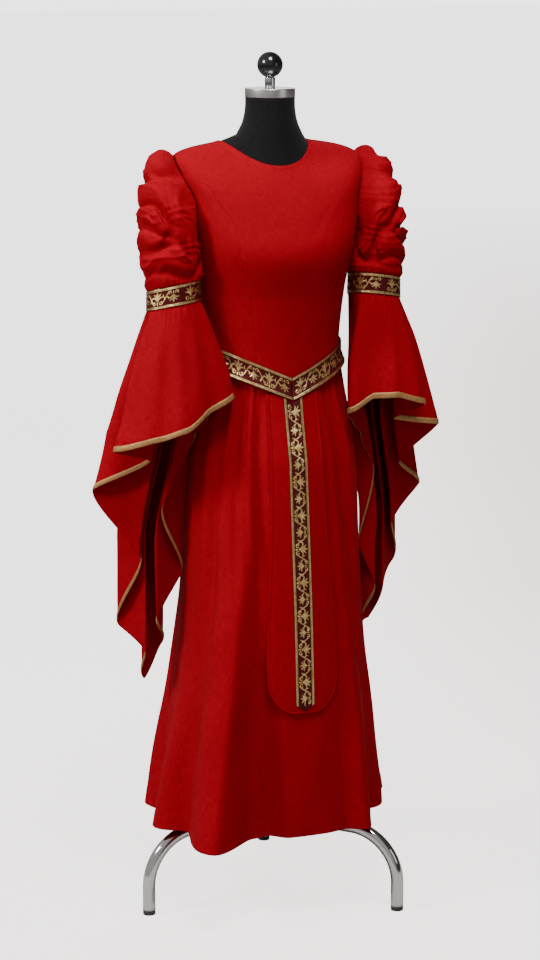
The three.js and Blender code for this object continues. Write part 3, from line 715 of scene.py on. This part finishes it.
def skirts():
    rows = 115
    for name, facing, cols, seed, wide in HALVES:
        start, stop = facing - 90 + SEAM_TURN, facing + 90 - SEAM_TURN
        plain = skirt_grid(start, stop, rows, cols)
        grid = plain
        across, down = lengths(grid, False)
        full = across[0, -1]
        # gathers let into the waist seam, longer and shorter by turns
        tucks = np.zeros(across.shape)
        for k, place in enumerate(np.linspace(0.07, 0.93, TUCKS)):
            reach = 90 + 70 * math.sin(2.3 * k + seed) ** 2 + 60 * (k % 3 == 1)
            width = 5.5 + 2.5 * math.sin(1.7 * k + seed)
            lean = 12 * math.sin(3.1 * k + seed)
            off = across - full * place - lean * down / 200
            middle = 1 - 0.75 * hump(place, 0.5, 0.13) * (name == "front")
            tucks = tucks - TUCK_DEEP * middle * hump(off, 0, width + down * 0.045) * (
                ramp(down, 2, 26) * (1 - ramp(down, reach * 0.4, reach * 2.2)))
        sway = ruffle(seed, (across / full, 3.1, 1.2), (across / full + down / 1500, 6.3, 0.9))
        grid = raised(grid, tucks + sway * ramp(down, 150, 600))
        if name == "front":
            scale = full / 430
            grid = creases(grid, across / scale, down, SKIRT_CREASES)
        if name == "back":
            grid = seam_groove(grid, across, down, np.full(rows, full / 2), depth=1.2, width=2.0)
        # the side seams stay where both halves meet
        from_seam = 1 - np.abs(np.linspace(-1, 1, cols))[None, :, None]
        grid = plain + (grid - plain) * ramp(from_seam, 0.0, 0.16)
        grid = hem_fold(grid)
        dress(cloth(f"gown_skirt_{name}", grid, CLOTH, False, RED), f"skirt_{name}")


# Ribbons: a grid whose rows run across the ribbon and whose columns run along it
def panel_half(z):
    plain = PANEL.along("z", "half", z)
    low = np.clip((PANEL_END_Z + PANEL_CORNER - z) / PANEL_CORNER, 0, 1)
    return plain - PANEL_CORNER * 0.93 * (1 - np.sqrt(1 - low * low * 0.995))


def on_panel(x, z, out):
    return front_point(x, z, out + 3 * (np.abs(x) / 70) ** 2)


def panel():
    rows = 150
    z = lerp(PANEL_TOP_Z, PANEL_END_Z, 1 - (1 - np.linspace(0, 1, rows)) ** 1.35)[:, None]
    x = panel_half(z) * np.linspace(-1, 1, 60)[None, :]
    grid = on_panel(x, z, PANEL_OUT)
    across, down = lengths(grid, False)
    wave = ruffle(2, (x / 140 + z / 2400, 2.0, 0.5), (z / 600 + x / 300, 1.3, 0.5))
    bound = np.minimum(panel_half(z) - np.abs(x), z - PANEL_END_Z)
    piping = 0.9 * hump(bound, 2.2, 1.7) - 0.9 * hump(bound, 6.5, 1.3)
    grid = raised(grid, wave * ramp(np.abs(x), 20, 50) + piping)
    dress(cloth("gown_front_panel", grid, CLOTH, False, RED), "front_panel")


class Ribbon:
    """A woven ribbon laid on a surface, and its gold ornament."""

    def __init__(self, name, node, place, length, flat, held="laid", around=False):
        self.place = place
        self.length = length
        cols = max(int(length / 3), 24)
        w = RIBBON_WIDTH / 2 * np.linspace(1, -1, 13)[:, None]
        s = np.linspace(0, length, cols + (0 if around else 1), endpoint=not around)[None, :]
        grid = place(s, w)
        piece = cloth(name, grid, RIBBON, around, WINE)
        ornament = self.ornament(f"{name}_ornament")
        dress(piece, node)

    def stood_up(self, s, w, height):
        """A point on the ribbon at s along and w across, stood up from it."""
        e = 0.6
        here = self.place(s, w)
        along = self.place(s + e, w) - self.place(s - e, w)
        over = self.place(s, w + e) - self.place(s, w - e)
        out = unit(np.cross(along, over))
        return here + out * height

    def ornament(self, name):
        marks = list(strokes(self.length))
        path = np.concatenate([mark for mark, _ in marks])
        half = np.concatenate([width for _, width in marks])[:, None] / 2
        way = np.concatenate([unit(np.gradient(mark, axis=0)) for mark, _ in marks])
        aside = np.stack([-way[:, 1], way[:, 0]], -1) * half
        rows, flat = [], []
        for line, height in ((path + aside, 0.15), (path, 0.6), (path - aside, 0.15)):
            rows.append(self.stood_up(line[:, 0], line[:, 1], height))
            flat.append(line)
        faces, start, total = [], 0, len(path)
        for mark, _ in marks:
            for row in (0, 1):
                for k in range(start, start + len(mark) - 1):
                    here, below = row * total + k, (row + 1) * total + k
                    faces.append([here, here + 1, below + 1, below])
            start += len(mark)
        return make(name, np.concatenate(rows), faces, GOLD, np.concatenate(flat))


# One repeat of the ornament: a palmette that stands across the ribbon, an S-shaped stem with
# leaves, and a small flower that hangs the other way
REPEAT = 66.0


def spiral(x, y, size, start, turns, hand):
    """A volute that rolls in: from the outside to its eye."""
    t = np.linspace(0, 1, 15)
    angle = start + hand * turns * 360 * t
    radius = size * (1 - 0.8 * t)
    return np.stack([x + radius * cos(angle), y + radius * sin(angle)], -1)


def leaf(x, y, angle, length, bow):
    t = np.linspace(0, 1, 9)
    side = bow * 4 * t * (1 - t)
    return np.stack([x + length * t * cos(angle) - side * sin(angle),
                     y + length * t * sin(angle) + side * cos(angle)], -1)


def tapered(path, width, thin=0.22):
    t = np.linspace(0, 1, len(path))
    return path, width * (thin + (1 - thin) * np.sin(np.pi * t) ** 0.7)


def motif():
    """Strokes of one repeat as (path, widths)."""
    palm, flower = 17.0, 50.0
    marks = [tapered(leaf(palm, -6, 90, 19, 0), 5.0), tapered(leaf(palm, -7, -90, 5.5, 0), 3.4),
             tapered(leaf(flower, 5, -90, 15, 0), 3.8), tapered(leaf(flower, 6, 90, 5, 0), 2.6)]
    for side in (-1, 1):
        for angle, length, bow, width in ((62, 16.5, -2.6, 3.4), (34, 13.5, -3.4, 3.0)):
            blade = leaf(palm + side, -5, 90 - side * (90 - angle), length, -side * bow)
            marks.append(tapered(blade, width))
        marks.append(tapered(spiral(palm + side * 8, -7.2, 4.6, 90 + side * 60, 1.05, side), 2.2, 0.4))
        for angle, length, bow, width in ((58, 13, -2.0, 2.7), (26, 11, -2.6, 2.4)):
            blade = leaf(flower + side, 4, -90 + side * (90 - angle), length, side * bow)
            marks.append(tapered(blade, width))
        marks.append(tapered(spiral(flower + side * 7.4, 8.2, 4.0, -90 - side * 60, 1.0, -side), 2.0, 0.4))
    for start, hand in ((25.0, 1), (58.0, -1)):
        t = np.linspace(0, 1, 17)
        stem = np.stack([start + 18 * t, -hand * 9.5 * np.cos(np.pi * t)], -1)
        marks.append((stem, np.full(17, 1.9)))
        marks.append(tapered(leaf(start + 8, 0, hand * 110, 8, 1.6), 2.4))
        marks.append(tapered(leaf(start + 11, hand * 2, -hand * 50, 8, 1.6), 2.4))
    return marks


def strokes(length):
    """All strokes of a ribbon: its gold edge lines and the repeats that fit whole."""
    edge = np.linspace(0.4, length - 0.4, max(int(length / 4), 20))
    for side in (-1, 1):
        for place, width in ((17.0, 2.3), (14.6, 1.1)):
            yield np.stack([edge, np.full(len(edge), side * place)], -1), np.full(len(edge), width)
    count = max(int(round((length - 2) / REPEAT)), 1)
    stretch = np.array([(length - 2) / (count * REPEAT), 1.0])
    for k in range(count):
        for path, width in motif():
            inside = (path[:, 0] >= 0) & (k * REPEAT + path[:, 0] <= count * REPEAT)
            if inside.all() or (k + 1 < count):
                yield path * stretch + np.array([1 + k * REPEAT * stretch[0], 0.0]), width


BELT_OUT, BELT_FLARE, BELT_FRONT = 3.4, 0.42, 1.1


def belt_place(side, length_table):
    """Where a belt half lies: s from the front mitre towards the back, w up the ribbon."""
    angles, along = length_table

    def place(s, w):
        s, w = paired(s, w)
        angle = np.interp(s, along, angles)
        seam = body_point(angle, WAIST_RING)
        flare = BELT_FLARE * np.maximum(-w, 0)
        steep = np.where(angle < 90, 1.12, 1.0)
        out = BELT_OUT + flare + np.maximum(cos(angle), 0) * BELT_FRONT
        x = np.maximum(seam[..., 0] + sin(angle) * out, SEAM)
        return points(side * x, seam[..., 1] - cos(angle) * out, seam[..., 2] + w * steep)

    return place


def belts():
    angles = np.linspace(0.25, 179.8, 240)
    seam = body_point(angles, WAIST_RING)
    out = (BELT_OUT + np.maximum(cos(angles), 0) * BELT_FRONT)[:, None]
    line = seam + out * points(sin(angles), -cos(angles), 0.0)
    along = np.concatenate([[0], np.cumsum(np.linalg.norm(np.diff(line, axis=0), axis=-1))])
    for side, word in ((1, "left"), (-1, "right")):
        forward = belt_place(side, (angles, along))
        place = forward if side > 0 else (lambda s, w, f=forward: f(along[-1] - s, w))
        Ribbon(f"gown_belt_{word}", f"belt_{word}", place, along[-1], (0.037, along[-1] * MM))


def panel_trim():
    length = TRIM_TOP_Z - TRIM_END_Z

    def place(s, w):
        s, w = paired(s, w)
        z = TRIM_TOP_Z - s
        z = z + BELT_SLOPE * np.abs(w) * (1 - ramp(s, 0, 40))
        tip = ramp(s, length - 14, length)
        z = z + tip * (12 * np.abs(w) / (RIBBON_WIDTH / 2) - 8)
        return on_panel(w, z, PANEL_OUT + 2 * SEAM + RIBBON)

    Ribbon("gown_panel_trim", "panel_trim", place, length, (0.037, length * MM), held="hung")


# Sleeves: going round an arm, 0 is its front, 90 its outer side and 180 its back
def arm_ring(side, angle, radius, drop, shift=0.0):
    level = np.clip(1 - drop / 200, 0, 1)
    tilt = (-math.tan(math.radians(BAND_TILT_IN)) * radius * sin(angle)
            + math.tan(math.radians(BAND_TILT_FRONT)) * radius * cos(angle))
    return points(side * (BAND_X + shift + radius * sin(angle)), BAND_Y - radius * cos(angle),
                  BAND_Z - drop + tilt * level)


def armhole_point(side, angle):
    t = (angle - 90) % 360
    front = t > 180
    way = np.where(front, (360 - t) / 180, t / 180)
    place = lerp(1, UNDERARM_RING, way)
    edge = side_angle(place, np.where(front, ARMHOLE_FRONT, ARMHOLE_BACK))
    return body_point(side * np.where(front, edge, 180 - edge), place)


def bezier(a, b, c, d, t):
    return (a * (1 - t) ** 3 + 3 * b * t * (1 - t) ** 2 + 3 * c * t * t * (1 - t) + d * t ** 3)


def sleeve_fold(side, angle, z):
    """Which fold of an upper sleeve a place is in: whole numbers on ridges, halves in valleys."""
    fold = np.interp(-z, [-ridge for ridge in RIDGES[side]], np.arange(7.0))
    fold = fold + 0.24 * sin(angle * 2 + 40 * side) + 0.12 * sin(angle * 3 + z * 2)
    return forked(fold, angle, z, zip(*FORKS.data.values()))


def forked(fold, angle, z, forks):
    for at, height, hand in forks:
        fold = fold + hand * np.arctan2(ARM_ROUND * sin(angle - at), z - height) / (2 * np.pi)
    return fold


def sagging(fold, sag):
    """A ridge in each fold that hangs towards the valley under it."""
    return np.cos(2 * np.pi * (fold - sag * np.sin(2 * np.pi * fold)))


# Where the small folds fork: angle, height and hand
FINE_FORKS = ((60, 1400, 1), (10, 1368, -1), (84, 1262, 1), (-40, 1330, -1), (140, 1340, 1),
              (40, 1284, 1), (110, 1385, -1), (30, 1320, -1), (75, 1306, 1))


def upper_sleeve(side, word):
    rows, cols = 160, 156
    angle = circle(cols)
    start = armhole_point(side, angle)
    end = arm_ring(side, angle, BAND_R, -RIBBON_WIDTH / 2 - SEAM - 0.35)
    high = 0.5 * (1 + sin(angle))
    first = start + points(side * lerp(10, 66, high), cos(angle) * -26, lerp(-10, PUFF * 1.5, high ** 2))
    second = end + points(side * 20 * high, cos(angle) * -10, lerp(40, 120, high))
    start = start + np.array([side * (SEAM + 0.6), 0, 0])
    t = np.linspace(0, 1, rows)[:, None, None]
    grid = bezier(start[None], first[None], second[None], end[None], t)
    t = t[..., 0]
    turn = angle[None, :] + np.zeros(t.shape)
    z = grid[..., 2]
    centre = (grid + np.roll(grid, cols // 2, axis=1)) / 2
    outward = unit(grid - centre)
    fade = np.sin(np.pi * t) ** 0.5
    fold = sleeve_fold(side, turn, z)
    lift = 3.0 + 1.45 * RIDGE_HIGH * sagging(fold, RIDGE_SAG)
    # narrow drag folds with crisp tops ride on the large ones and fork in their own places
    fine = fold * 2.0 + 0.3 * sin(turn * 2 - z * 1.3 + 50 * side) + 0.12 * sin(turn * 5 + z * 3)
    fine = forked(fine, turn, z, FINE_FORKS)
    where = 0.35 + 0.65 * ramp(sin(turn * 2.0 + z * 4 + 60 * side), -0.4, 0.7)
    crest = hump((fine + 0.5) % 1, 0.5, 0.15)
    dip = hump(fine % 1, 0.62, 0.13)
    lift = lift + where * (4.2 * crest - 2.6 * dip) - 0.4
    small = z / 13.5 + 0.55 * sin(turn * 2 + 30 * side) + 0.22 * sin(turn * 5 + z * 2)
    where = ramp(sin(turn + z * 5 - 40 * side), -0.6, 0.5)
    lift = lift + where * (2.2 * hump((small + 0.5) % 1, 0.5, 0.17) - 0.6)
    lift = fade * lift
    # small gathers run into the armhole seam and the band
    shirr = np.cos(2 * np.pi * (turn / 360 * 30 + 0.35 * sin(turn * 5)))
    lift = lift + 1.2 * shirr * hump(t, 0.03, 0.03) * np.clip(high + 0.2, 0, 1)
    low = z - (BAND_Z + RIBBON_WIDTH / 2)
    lift = lift + 1.6 * shirr * hump(low, 9, 11) * ramp(low, -4, 4)
    grid = grid + outward * lift[..., None]
    if side < 0:
        grid = grid[:, ::-1]
    dress(cloth(f"gown_sleeve_upper_{word}", grid, CLOTH, True, RED), f"sleeve_upper_{word}")


def arm_band(side, word):
    radius = BAND_R + 1.6
    length = 2 * math.pi * radius

    def place(s, w):
        s, w = paired(s, w)
        angle = s / length * 360 * side
        flare = np.clip(-w / (RIBBON_WIDTH / 2), 0, 1) * 0.8
        return arm_ring(side, angle, radius + flare, -w)

    Ribbon(f"gown_arm_band_{word}", f"arm_band_{word}", place, length, (0.037, length * MM), around=True)


def skirt_reach(angle, z):
    here = skirt_at(angle, np.clip(z, HEM_Z, seam_z(angle)))
    return np.hypot(here[..., 0], here[..., 1])


def bell_point(side, table, angle, t):
    at = table.data["at"]
    keys = np.append(at, at[0] + 360)
    turned = at[0] + (angle - at[0]) % 360
    row = np.clip(np.searchsorted(keys, turned, side="right") - 1, 0, table.last)
    part = (turned - keys[row]) / (keys[row + 1] - keys[row])
    ease = 0.5 - 0.5 * np.cos(np.pi * part)
    reach, depth = table.data["reach"], table.data["depth"]
    following = (row + 1) % (table.last + 1)
    far = lerp(reach[row], reach[following], ease)
    deep = lerp(depth[row], depth[following], lerp(part, ease, 0.4))
    start = RIBBON_WIDTH / 2 + SEAM
    drop = start + (deep - start) * t
    hang = deep * t
    plain = BAND_R + 0.3 * np.minimum(hang, 220)
    opened = np.clip(hang / np.minimum(deep, 260), 0, 1) ** 0.85
    radius = lerp(lerp(BAND_R, plain, t * 0.4), far, opened)
    lean = LEAN[side] * ramp(drop, LEAN_FROM, LEAN_FROM + LEAN_OVER)

    def room(r):
        clear = CLEAR + BELT_CLEAR * ramp(BAND_Z - drop, BELT_LOW_Z - 30, BELT_LOW_Z)
        here = arm_ring(side, angle, r, drop, lean)
        around = np.degrees(np.arctan2(here[..., 0], -here[..., 1]))
        return np.hypot(here[..., 0], here[..., 1]) - skirt_reach(around, here[..., 2]) - clear

    near, reached = np.full(radius.shape, 8.0), radius
    tight = room(radius) < 0
    for _ in range(14):
        half = (near + reached) / 2
        free = room(half) >= 0
        near = np.where(free, half, near)
        reached = np.where(free, reached, half)
    return arm_ring(side, angle, np.where(tight, near, radius), drop, lean)


def bell(side, table, word):
    rows, cols = 96, 270
    angle = table.data["at"][0] + np.linspace(0, 360, cols, endpoint=False)[None, :]
    t = np.linspace(0, 1, rows)[:, None]
    grid = bell_point(side, table, *np.broadcast_arrays(angle, t))
    if side < 0:
        grid = grid[:, ::-1]
    across, down = lengths(grid, True)
    gathers = np.linspace(0, 30, cols)[None, :] + 0.4 * np.sin(np.linspace(0, 25, cols))
    lift = 0.9 * np.cos(2 * np.pi * gathers) * hump(down, 0, 22)
    sway = ruffle(side, (across / 900 + down / 700, 3.0, 0.8), (down / 260 + across / 500, 1.0, 0.5))
    lift = lift + sway * ramp(down, 40, 160)
    turns = np.linspace(0, 2 * np.pi, cols, endpoint=False)[None, :]
    flare = np.sin(7 * turns + 1.1 * np.sin(2 * turns + side)) + 0.5 * np.sin(12 * turns + 2.0 * side)
    lift = lift + 2.6 * flare * ramp(down, 10, 90) * (1 - 0.7 * ramp(down, 140, 320))
    grid = raised(grid, lift, True)
    sleeve = cloth(f"gown_bell_{word}", grid, CLOTH, True, RED)
    trim = hem_braid(grid, word)
    dress(sleeve, f"bell_sleeve_{word}")


def hem_braid(grid, word):
    """The braid round a bell's hem: a flat plait with a chevron relief."""
    hem = grid[-1]
    steps = np.linalg.norm(np.roll(hem, -1, axis=0) - hem, axis=-1)
    along = np.concatenate([[0], np.cumsum(steps)])
    cols = int(along[-1] / 1.6)
    s = np.linspace(0, along[-1], cols, endpoint=False)
    out = normals(grid, True)[-1]
    up = unit(grid[-2] - grid[-1])

    def resample(values):
        closed = np.concatenate([values, values[:1]])
        return np.stack([np.interp(s, along, closed[:, k]) for k in range(3)], -1)

    hem, out, up = resample(hem), resample(out), resample(up)
    place = np.linspace(1, 0, 9)[:, None]
    crown = 0.9 * (1 - (2 * place - 1) ** 2) ** 0.5
    plait = 0.45 * np.sin(2 * np.pi * (s[None, :] / 5.2 + np.abs(place - 0.5) * 1.5))
    height = 0.9 + crown + plait * (1 - np.abs(2 * place - 1) ** 4)
    strip = hem[None] + up[None] * (place * BRAID_WIDTH - 0.5)[..., None] + out[None] * height[..., None]
    piece = cloth(f"gown_hem_braid_{word}", strip, 0.7, True, TAN)
    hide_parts(f"hem_braid_{word}")
    return piece


bodices()
skirts()
panel()
panel_trim()
belts()
for arm, word, table in ((1, "left", BELL_LEFT_ARM), (-1, "right", BELL_RIGHT_ARM)):
    upper_sleeve(arm, word)
    arm_band(arm, word)
    bell(arm, table, word)


# Dress form and stand
def loft(name, rings, material):
    """A closed solid through rings of points, with a point in the middle of each end."""
    rings = np.asarray(rings)
    rows, cols = rings.shape[:2]
    across, down = lengths(rings, True)
    verts = np.concatenate([rings.reshape(-1, 3), [rings[0].mean(0)], [rings[-1].mean(0)]])
    uv = np.concatenate([np.stack([across, down], -1).reshape(-1, 2), [[0, 0], [0, 0]]])
    faces = strip_faces(rows, cols, True).tolist()
    first, last = rows * cols, rows * cols + 1
    for j in range(cols):
        k = (j + 1) % cols
        faces.append([first, j, k])
        faces.append([last, (rows - 1) * cols + k, (rows - 1) * cols + j])
    return make(name, verts, faces, material, uv)


def turned(name, profile, material, cols=72, centre=(0.0, 0.0)):
    """A piece turned about Z from (radius, z) pairs that run from the top down."""
    angle = circle(cols)
    rings = [points(centre[0] + r * sin(angle), centre[1] - r * cos(angle), z) for r, z in profile]
    return loft(name, rings, material)


def rounded(radius, top, bottom, bevel):
    """A cylinder's profile with round edges."""
    turn = np.linspace(0, 90, 7)
    upper = [(radius - bevel + bevel * sin(a), top - bevel + bevel * cos(a)) for a in turn]
    lower = [(radius - bevel + bevel * cos(a), bottom + bevel - bevel * sin(a)) for a in turn]
    return upper + lower


NECK = Table("z x front_y back_y", (1583, 47.5, -47.5, 47.5), (1560, 48, -49, 50), (1535, 53, -52, 58),
             (1512, 64, -55, 72))


def form():
    angle = circle(96)
    rings = []
    for place in np.linspace(0, 3, 16):
        read = {name: NECK.smooth(name, place) for name in NECK.data}
        far = np.where(cos(angle) >= 0, read["front_y"], read["back_y"])
        rings.append(points(read["x"] * sin(angle), np.abs(cos(angle)) * far, read["z"]))
    for place in np.linspace(0, WAIST_RING, 60):
        inset = CLOTH + REST + 1.6 * np.clip(place / 0.5, 0, 1) + 5 * np.clip(place - 1, 0, 1)
        nearby = np.clip(np.array([place - 0.02, place, place + 0.02]), 0, WAIST_RING)
        grid = body_point(angle[None, :], nearby[:, None])
        rings.append(grid[1] - normals(grid, True)[1] * inset)
    for z, inset in ((1000, 14), (900, 26), (FORM_BASE_Z + 6, 34), (FORM_BASE_Z, 40)):
        here = skirt_at(angle, np.minimum(z, seam_z(angle)), False)
        scale = 1 - inset / np.hypot(here[..., 0], here[..., 1])
        rings.append(points(here[..., 0] * scale, here[..., 1] * scale, z))
    dress(loft("form_body", rings, BLACK), "form_torso")


BALL_R, POST_R, CAP_R, HUB_R = 24.5, 10, 48, 30
POST_TOP, CAP_LOW, HUB_LOW = CAP_TOP_Z + 20, 1583.3, 118
JOIN = 0.3


def hardware():
    dress(turned("form_cap", rounded(CAP_R, CAP_TOP_Z, CAP_LOW, 1.4), SATIN), "neck_cap")
    post = rounded(POST_R, POST_TOP, CAP_TOP_Z + JOIN, 0.8)
    dress(turned("form_cap_post", post, CHROME, 40), "cap_post")
    ball = [(BALL_R * sin(a), POST_TOP + 0.8 + BALL_R * (0.93 + cos(a))) for a in np.linspace(2, 158, 40)]
    ball.append((8, POST_TOP + JOIN))
    dress(turned("form_ball", ball, GLOSS), "ball_knob")
    pole = rounded(TUBE_R, FORM_BASE_Z - JOIN, HUB_TOP + JOIN, 0.6)
    dress(turned("stand_pole", pole, CHROME, 40), "pole")
    dress(turned("stand_hub", rounded(HUB_R, HUB_TOP, HUB_LOW, 3), CHROME, 64), "hub")


def leg(number, turn):
    direction = 90 + LEG_TURN - turn
    out = np.array([cos(direction), sin(direction), 0.0])
    aside = np.array([-out[1], out[0], 0.0])
    up = np.array([0.0, 0.0, 1.0])
    inner = HUB_R + JOIN
    path = [(inner + k * (LEG_REACH - LEG_BEND - inner) / 6, LEG_Z, 0.0) for k in range(6)]
    for a in np.linspace(0, 90, 28):
        path.append((LEG_REACH - LEG_BEND + LEG_BEND * sin(a), LEG_Z - LEG_BEND * (1 - cos(a)), a))
    path += [(LEG_REACH, z, 90.0) for z in np.linspace(LEG_Z - LEG_BEND, FOOT_PLUG + JOIN, 5)[1:]]
    ring = circle(40)[:, None]
    rings = []
    for reach, z, bend in path:
        over = up * cos(bend) + out * sin(bend)
        centre = out * reach + up * z
        rings.append(centre + TUBE_R * (aside * cos(ring) + over * sin(ring)))
    dress(loft(f"stand_leg_{number}", rings, CHROME), f"leg_{number}")
    foot = out * LEG_REACH
    plug = turned(f"stand_foot_{number}", rounded(TUBE_R, FOOT_PLUG, 0, 1.0), GLOSS, 40, (foot[0], foot[1]))
    dress(plug, f"foot_plug_{number}")


form()
hardware()
for number, turn in ((1, -120), (2, 120), (3, 0)):
    leg(number, turn)


# Floor, light and camera
CAMERA_TURN = -21.0
CAMERA_BACK = 5.0
CAMERA_HIGH = 1.884
CAMERA_DIP = 11.8
PHOTO_HEIGHT = 960
FOCAL_PIXELS = 2609.0
FLOOR_GLOW, WALL_GLOW, ROOM_LIGHT = 2.7, 3.1, 0.19
FLOOR_HALF = 60


def seen(tree, direct, other):
    """Mix two shaders: one for what the camera sees straight on, one for the light that it gives."""
    path = tree.nodes.new("ShaderNodeLightPath")
    mix = tree.nodes.new("ShaderNodeMixShader")
    tree.links.new(path.outputs["Is Camera Ray"], mix.inputs[0])
    tree.links.new(other, mix.inputs[1])
    tree.links.new(direct, mix.inputs[2])
    return mix.outputs[0]


def stage():
    floor = Finish("studio floor", (0.55, 0.53, 0.52), Roughness=0.95, Specular_IOR_Level=0.05)
    x, y, _ = floor.axes(floor.place)
    away = x * -sin(CAMERA_TURN) + y * cos(CAMERA_TURN)
    right = x * cos(CAMERA_TURN) + y * sin(CAMERA_TURN)
    tint = floor.blend(away.step(-2.0, 8.0), (0.90, 0.84, 0.81), (1.0, 0.985, 0.99))
    # painted shadow: the floor is painted darker and warmer to the right of the gown, fading out far behind
    # it
    painted_shadow = right.step(0.15, 1.3) * away.step(-0.5, 2.5) * (1 - away.step(2.5, 14.0))
    tint = floor.blend(painted_shadow * 0.9, tint, (0.52, 0.43, 0.37))
    glow = floor.node("ShaderNodeEmission", {}, tint, FLOOR_GLOW)
    lit = floor.tree.nodes.new("ShaderNodeAddShader")
    floor.tree.links.new(floor.shader.outputs[0], lit.inputs[0])
    floor.tree.links.new(glow.socket, lit.inputs[1])
    surface = floor.tree.nodes["Material Output"].inputs["Surface"]
    floor.tree.links.new(seen(floor.tree, lit.outputs[0], floor.shader.outputs[0]), surface)
    mesh = bpy.data.meshes.new("studio_floor")
    corners = [(x * FLOOR_HALF, y * FLOOR_HALF, 0) for x, y in ((-1, -1), (1, -1), (1, 1), (-1, 1))]
    mesh.from_pydata(corners, [], [(0, 1, 2, 3)])
    mesh.materials.append(floor.material)
    plane = bpy.data.objects.new("studio_floor", mesh)
    plane.location.z = -0.0005
    bpy.context.collection.objects.link(plane)


def lamp(name, turn, high, back, size, power, aim=0.95):
    data = bpy.data.lights.new(name, "AREA")
    data.shape = "SQUARE"
    data.size = size
    data.energy = power
    light = bpy.data.objects.new(name, data)
    light.location = (AXIS[0] + back * sin(turn), AXIS[1] - back * cos(turn), high)
    bpy.context.collection.objects.link(light)
    way = light.location.copy()
    way.x -= AXIS[0]
    way.y -= AXIS[1]
    way.z -= aim
    light.rotation_euler = way.to_track_quat("Z", "Y").to_euler()


def lights():
    world = bpy.data.worlds.new("studio")
    world.use_nodes = True
    tree = world.node_tree
    room = tree.nodes["Background"]
    room.inputs["Color"].default_value = (1.0, 0.97, 0.95, 1)
    way = tree.nodes.new("ShaderNodeTexCoord").outputs["Generated"]
    split = tree.nodes.new("ShaderNodeSeparateXYZ")
    tree.links.new(way, split.inputs[0])
    side = tree.nodes.new("ShaderNodeMapRange")
    side.interpolation_type = "SMOOTHSTEP"
    for socket, value in zip(side.inputs[1:5], (-0.25, 0.35, 2.0 * ROOM_LIGHT, 0.25 * ROOM_LIGHT)):
        socket.default_value = value
    tree.links.new(split.outputs["X"], side.inputs[0])
    tree.links.new(side.outputs[0], room.inputs["Strength"])
    wall = tree.nodes.new("ShaderNodeBackground")
    wall.inputs["Color"].default_value = (1.0, 0.985, 0.99, 1)
    wall.inputs["Strength"].default_value = WALL_GLOW
    surface = tree.nodes["World Output"].inputs["Surface"]
    tree.links.new(seen(tree, wall.outputs[0], room.outputs[0]), surface)
    bpy.context.scene.world = world
    lamp("key", CAMERA_TURN - 62, 3.0, 3.0, 0.7, 98, aim=1.25)
    lamp("top", CAMERA_TURN + 8, 3.7, 1.3, 0.9, 92, aim=1.25)
    lamp("fill", CAMERA_TURN + 60, 1.7, 3.6, 1.6, 7)
    lamp("back", CAMERA_TURN + 170, 2.6, 3.6, 1.8, 22)


def camera():
    data = bpy.data.cameras.new("photo view")
    data.sensor_fit = "VERTICAL"
    data.sensor_height = 24
    data.lens = FOCAL_PIXELS / PHOTO_HEIGHT * data.sensor_height
    data.clip_end = 200
    view = bpy.data.objects.new("photo view", data)
    view.location = (AXIS[0] + CAMERA_BACK * sin(CAMERA_TURN), AXIS[1] - CAMERA_BACK * cos(CAMERA_TURN),
                     CAMERA_HIGH)
    view.rotation_euler = (math.radians(90 - CAMERA_DIP), 0, math.radians(CAMERA_TURN))
    bpy.context.collection.objects.link(view)
    bpy.context.scene.camera = view


stage()
lights()
camera()
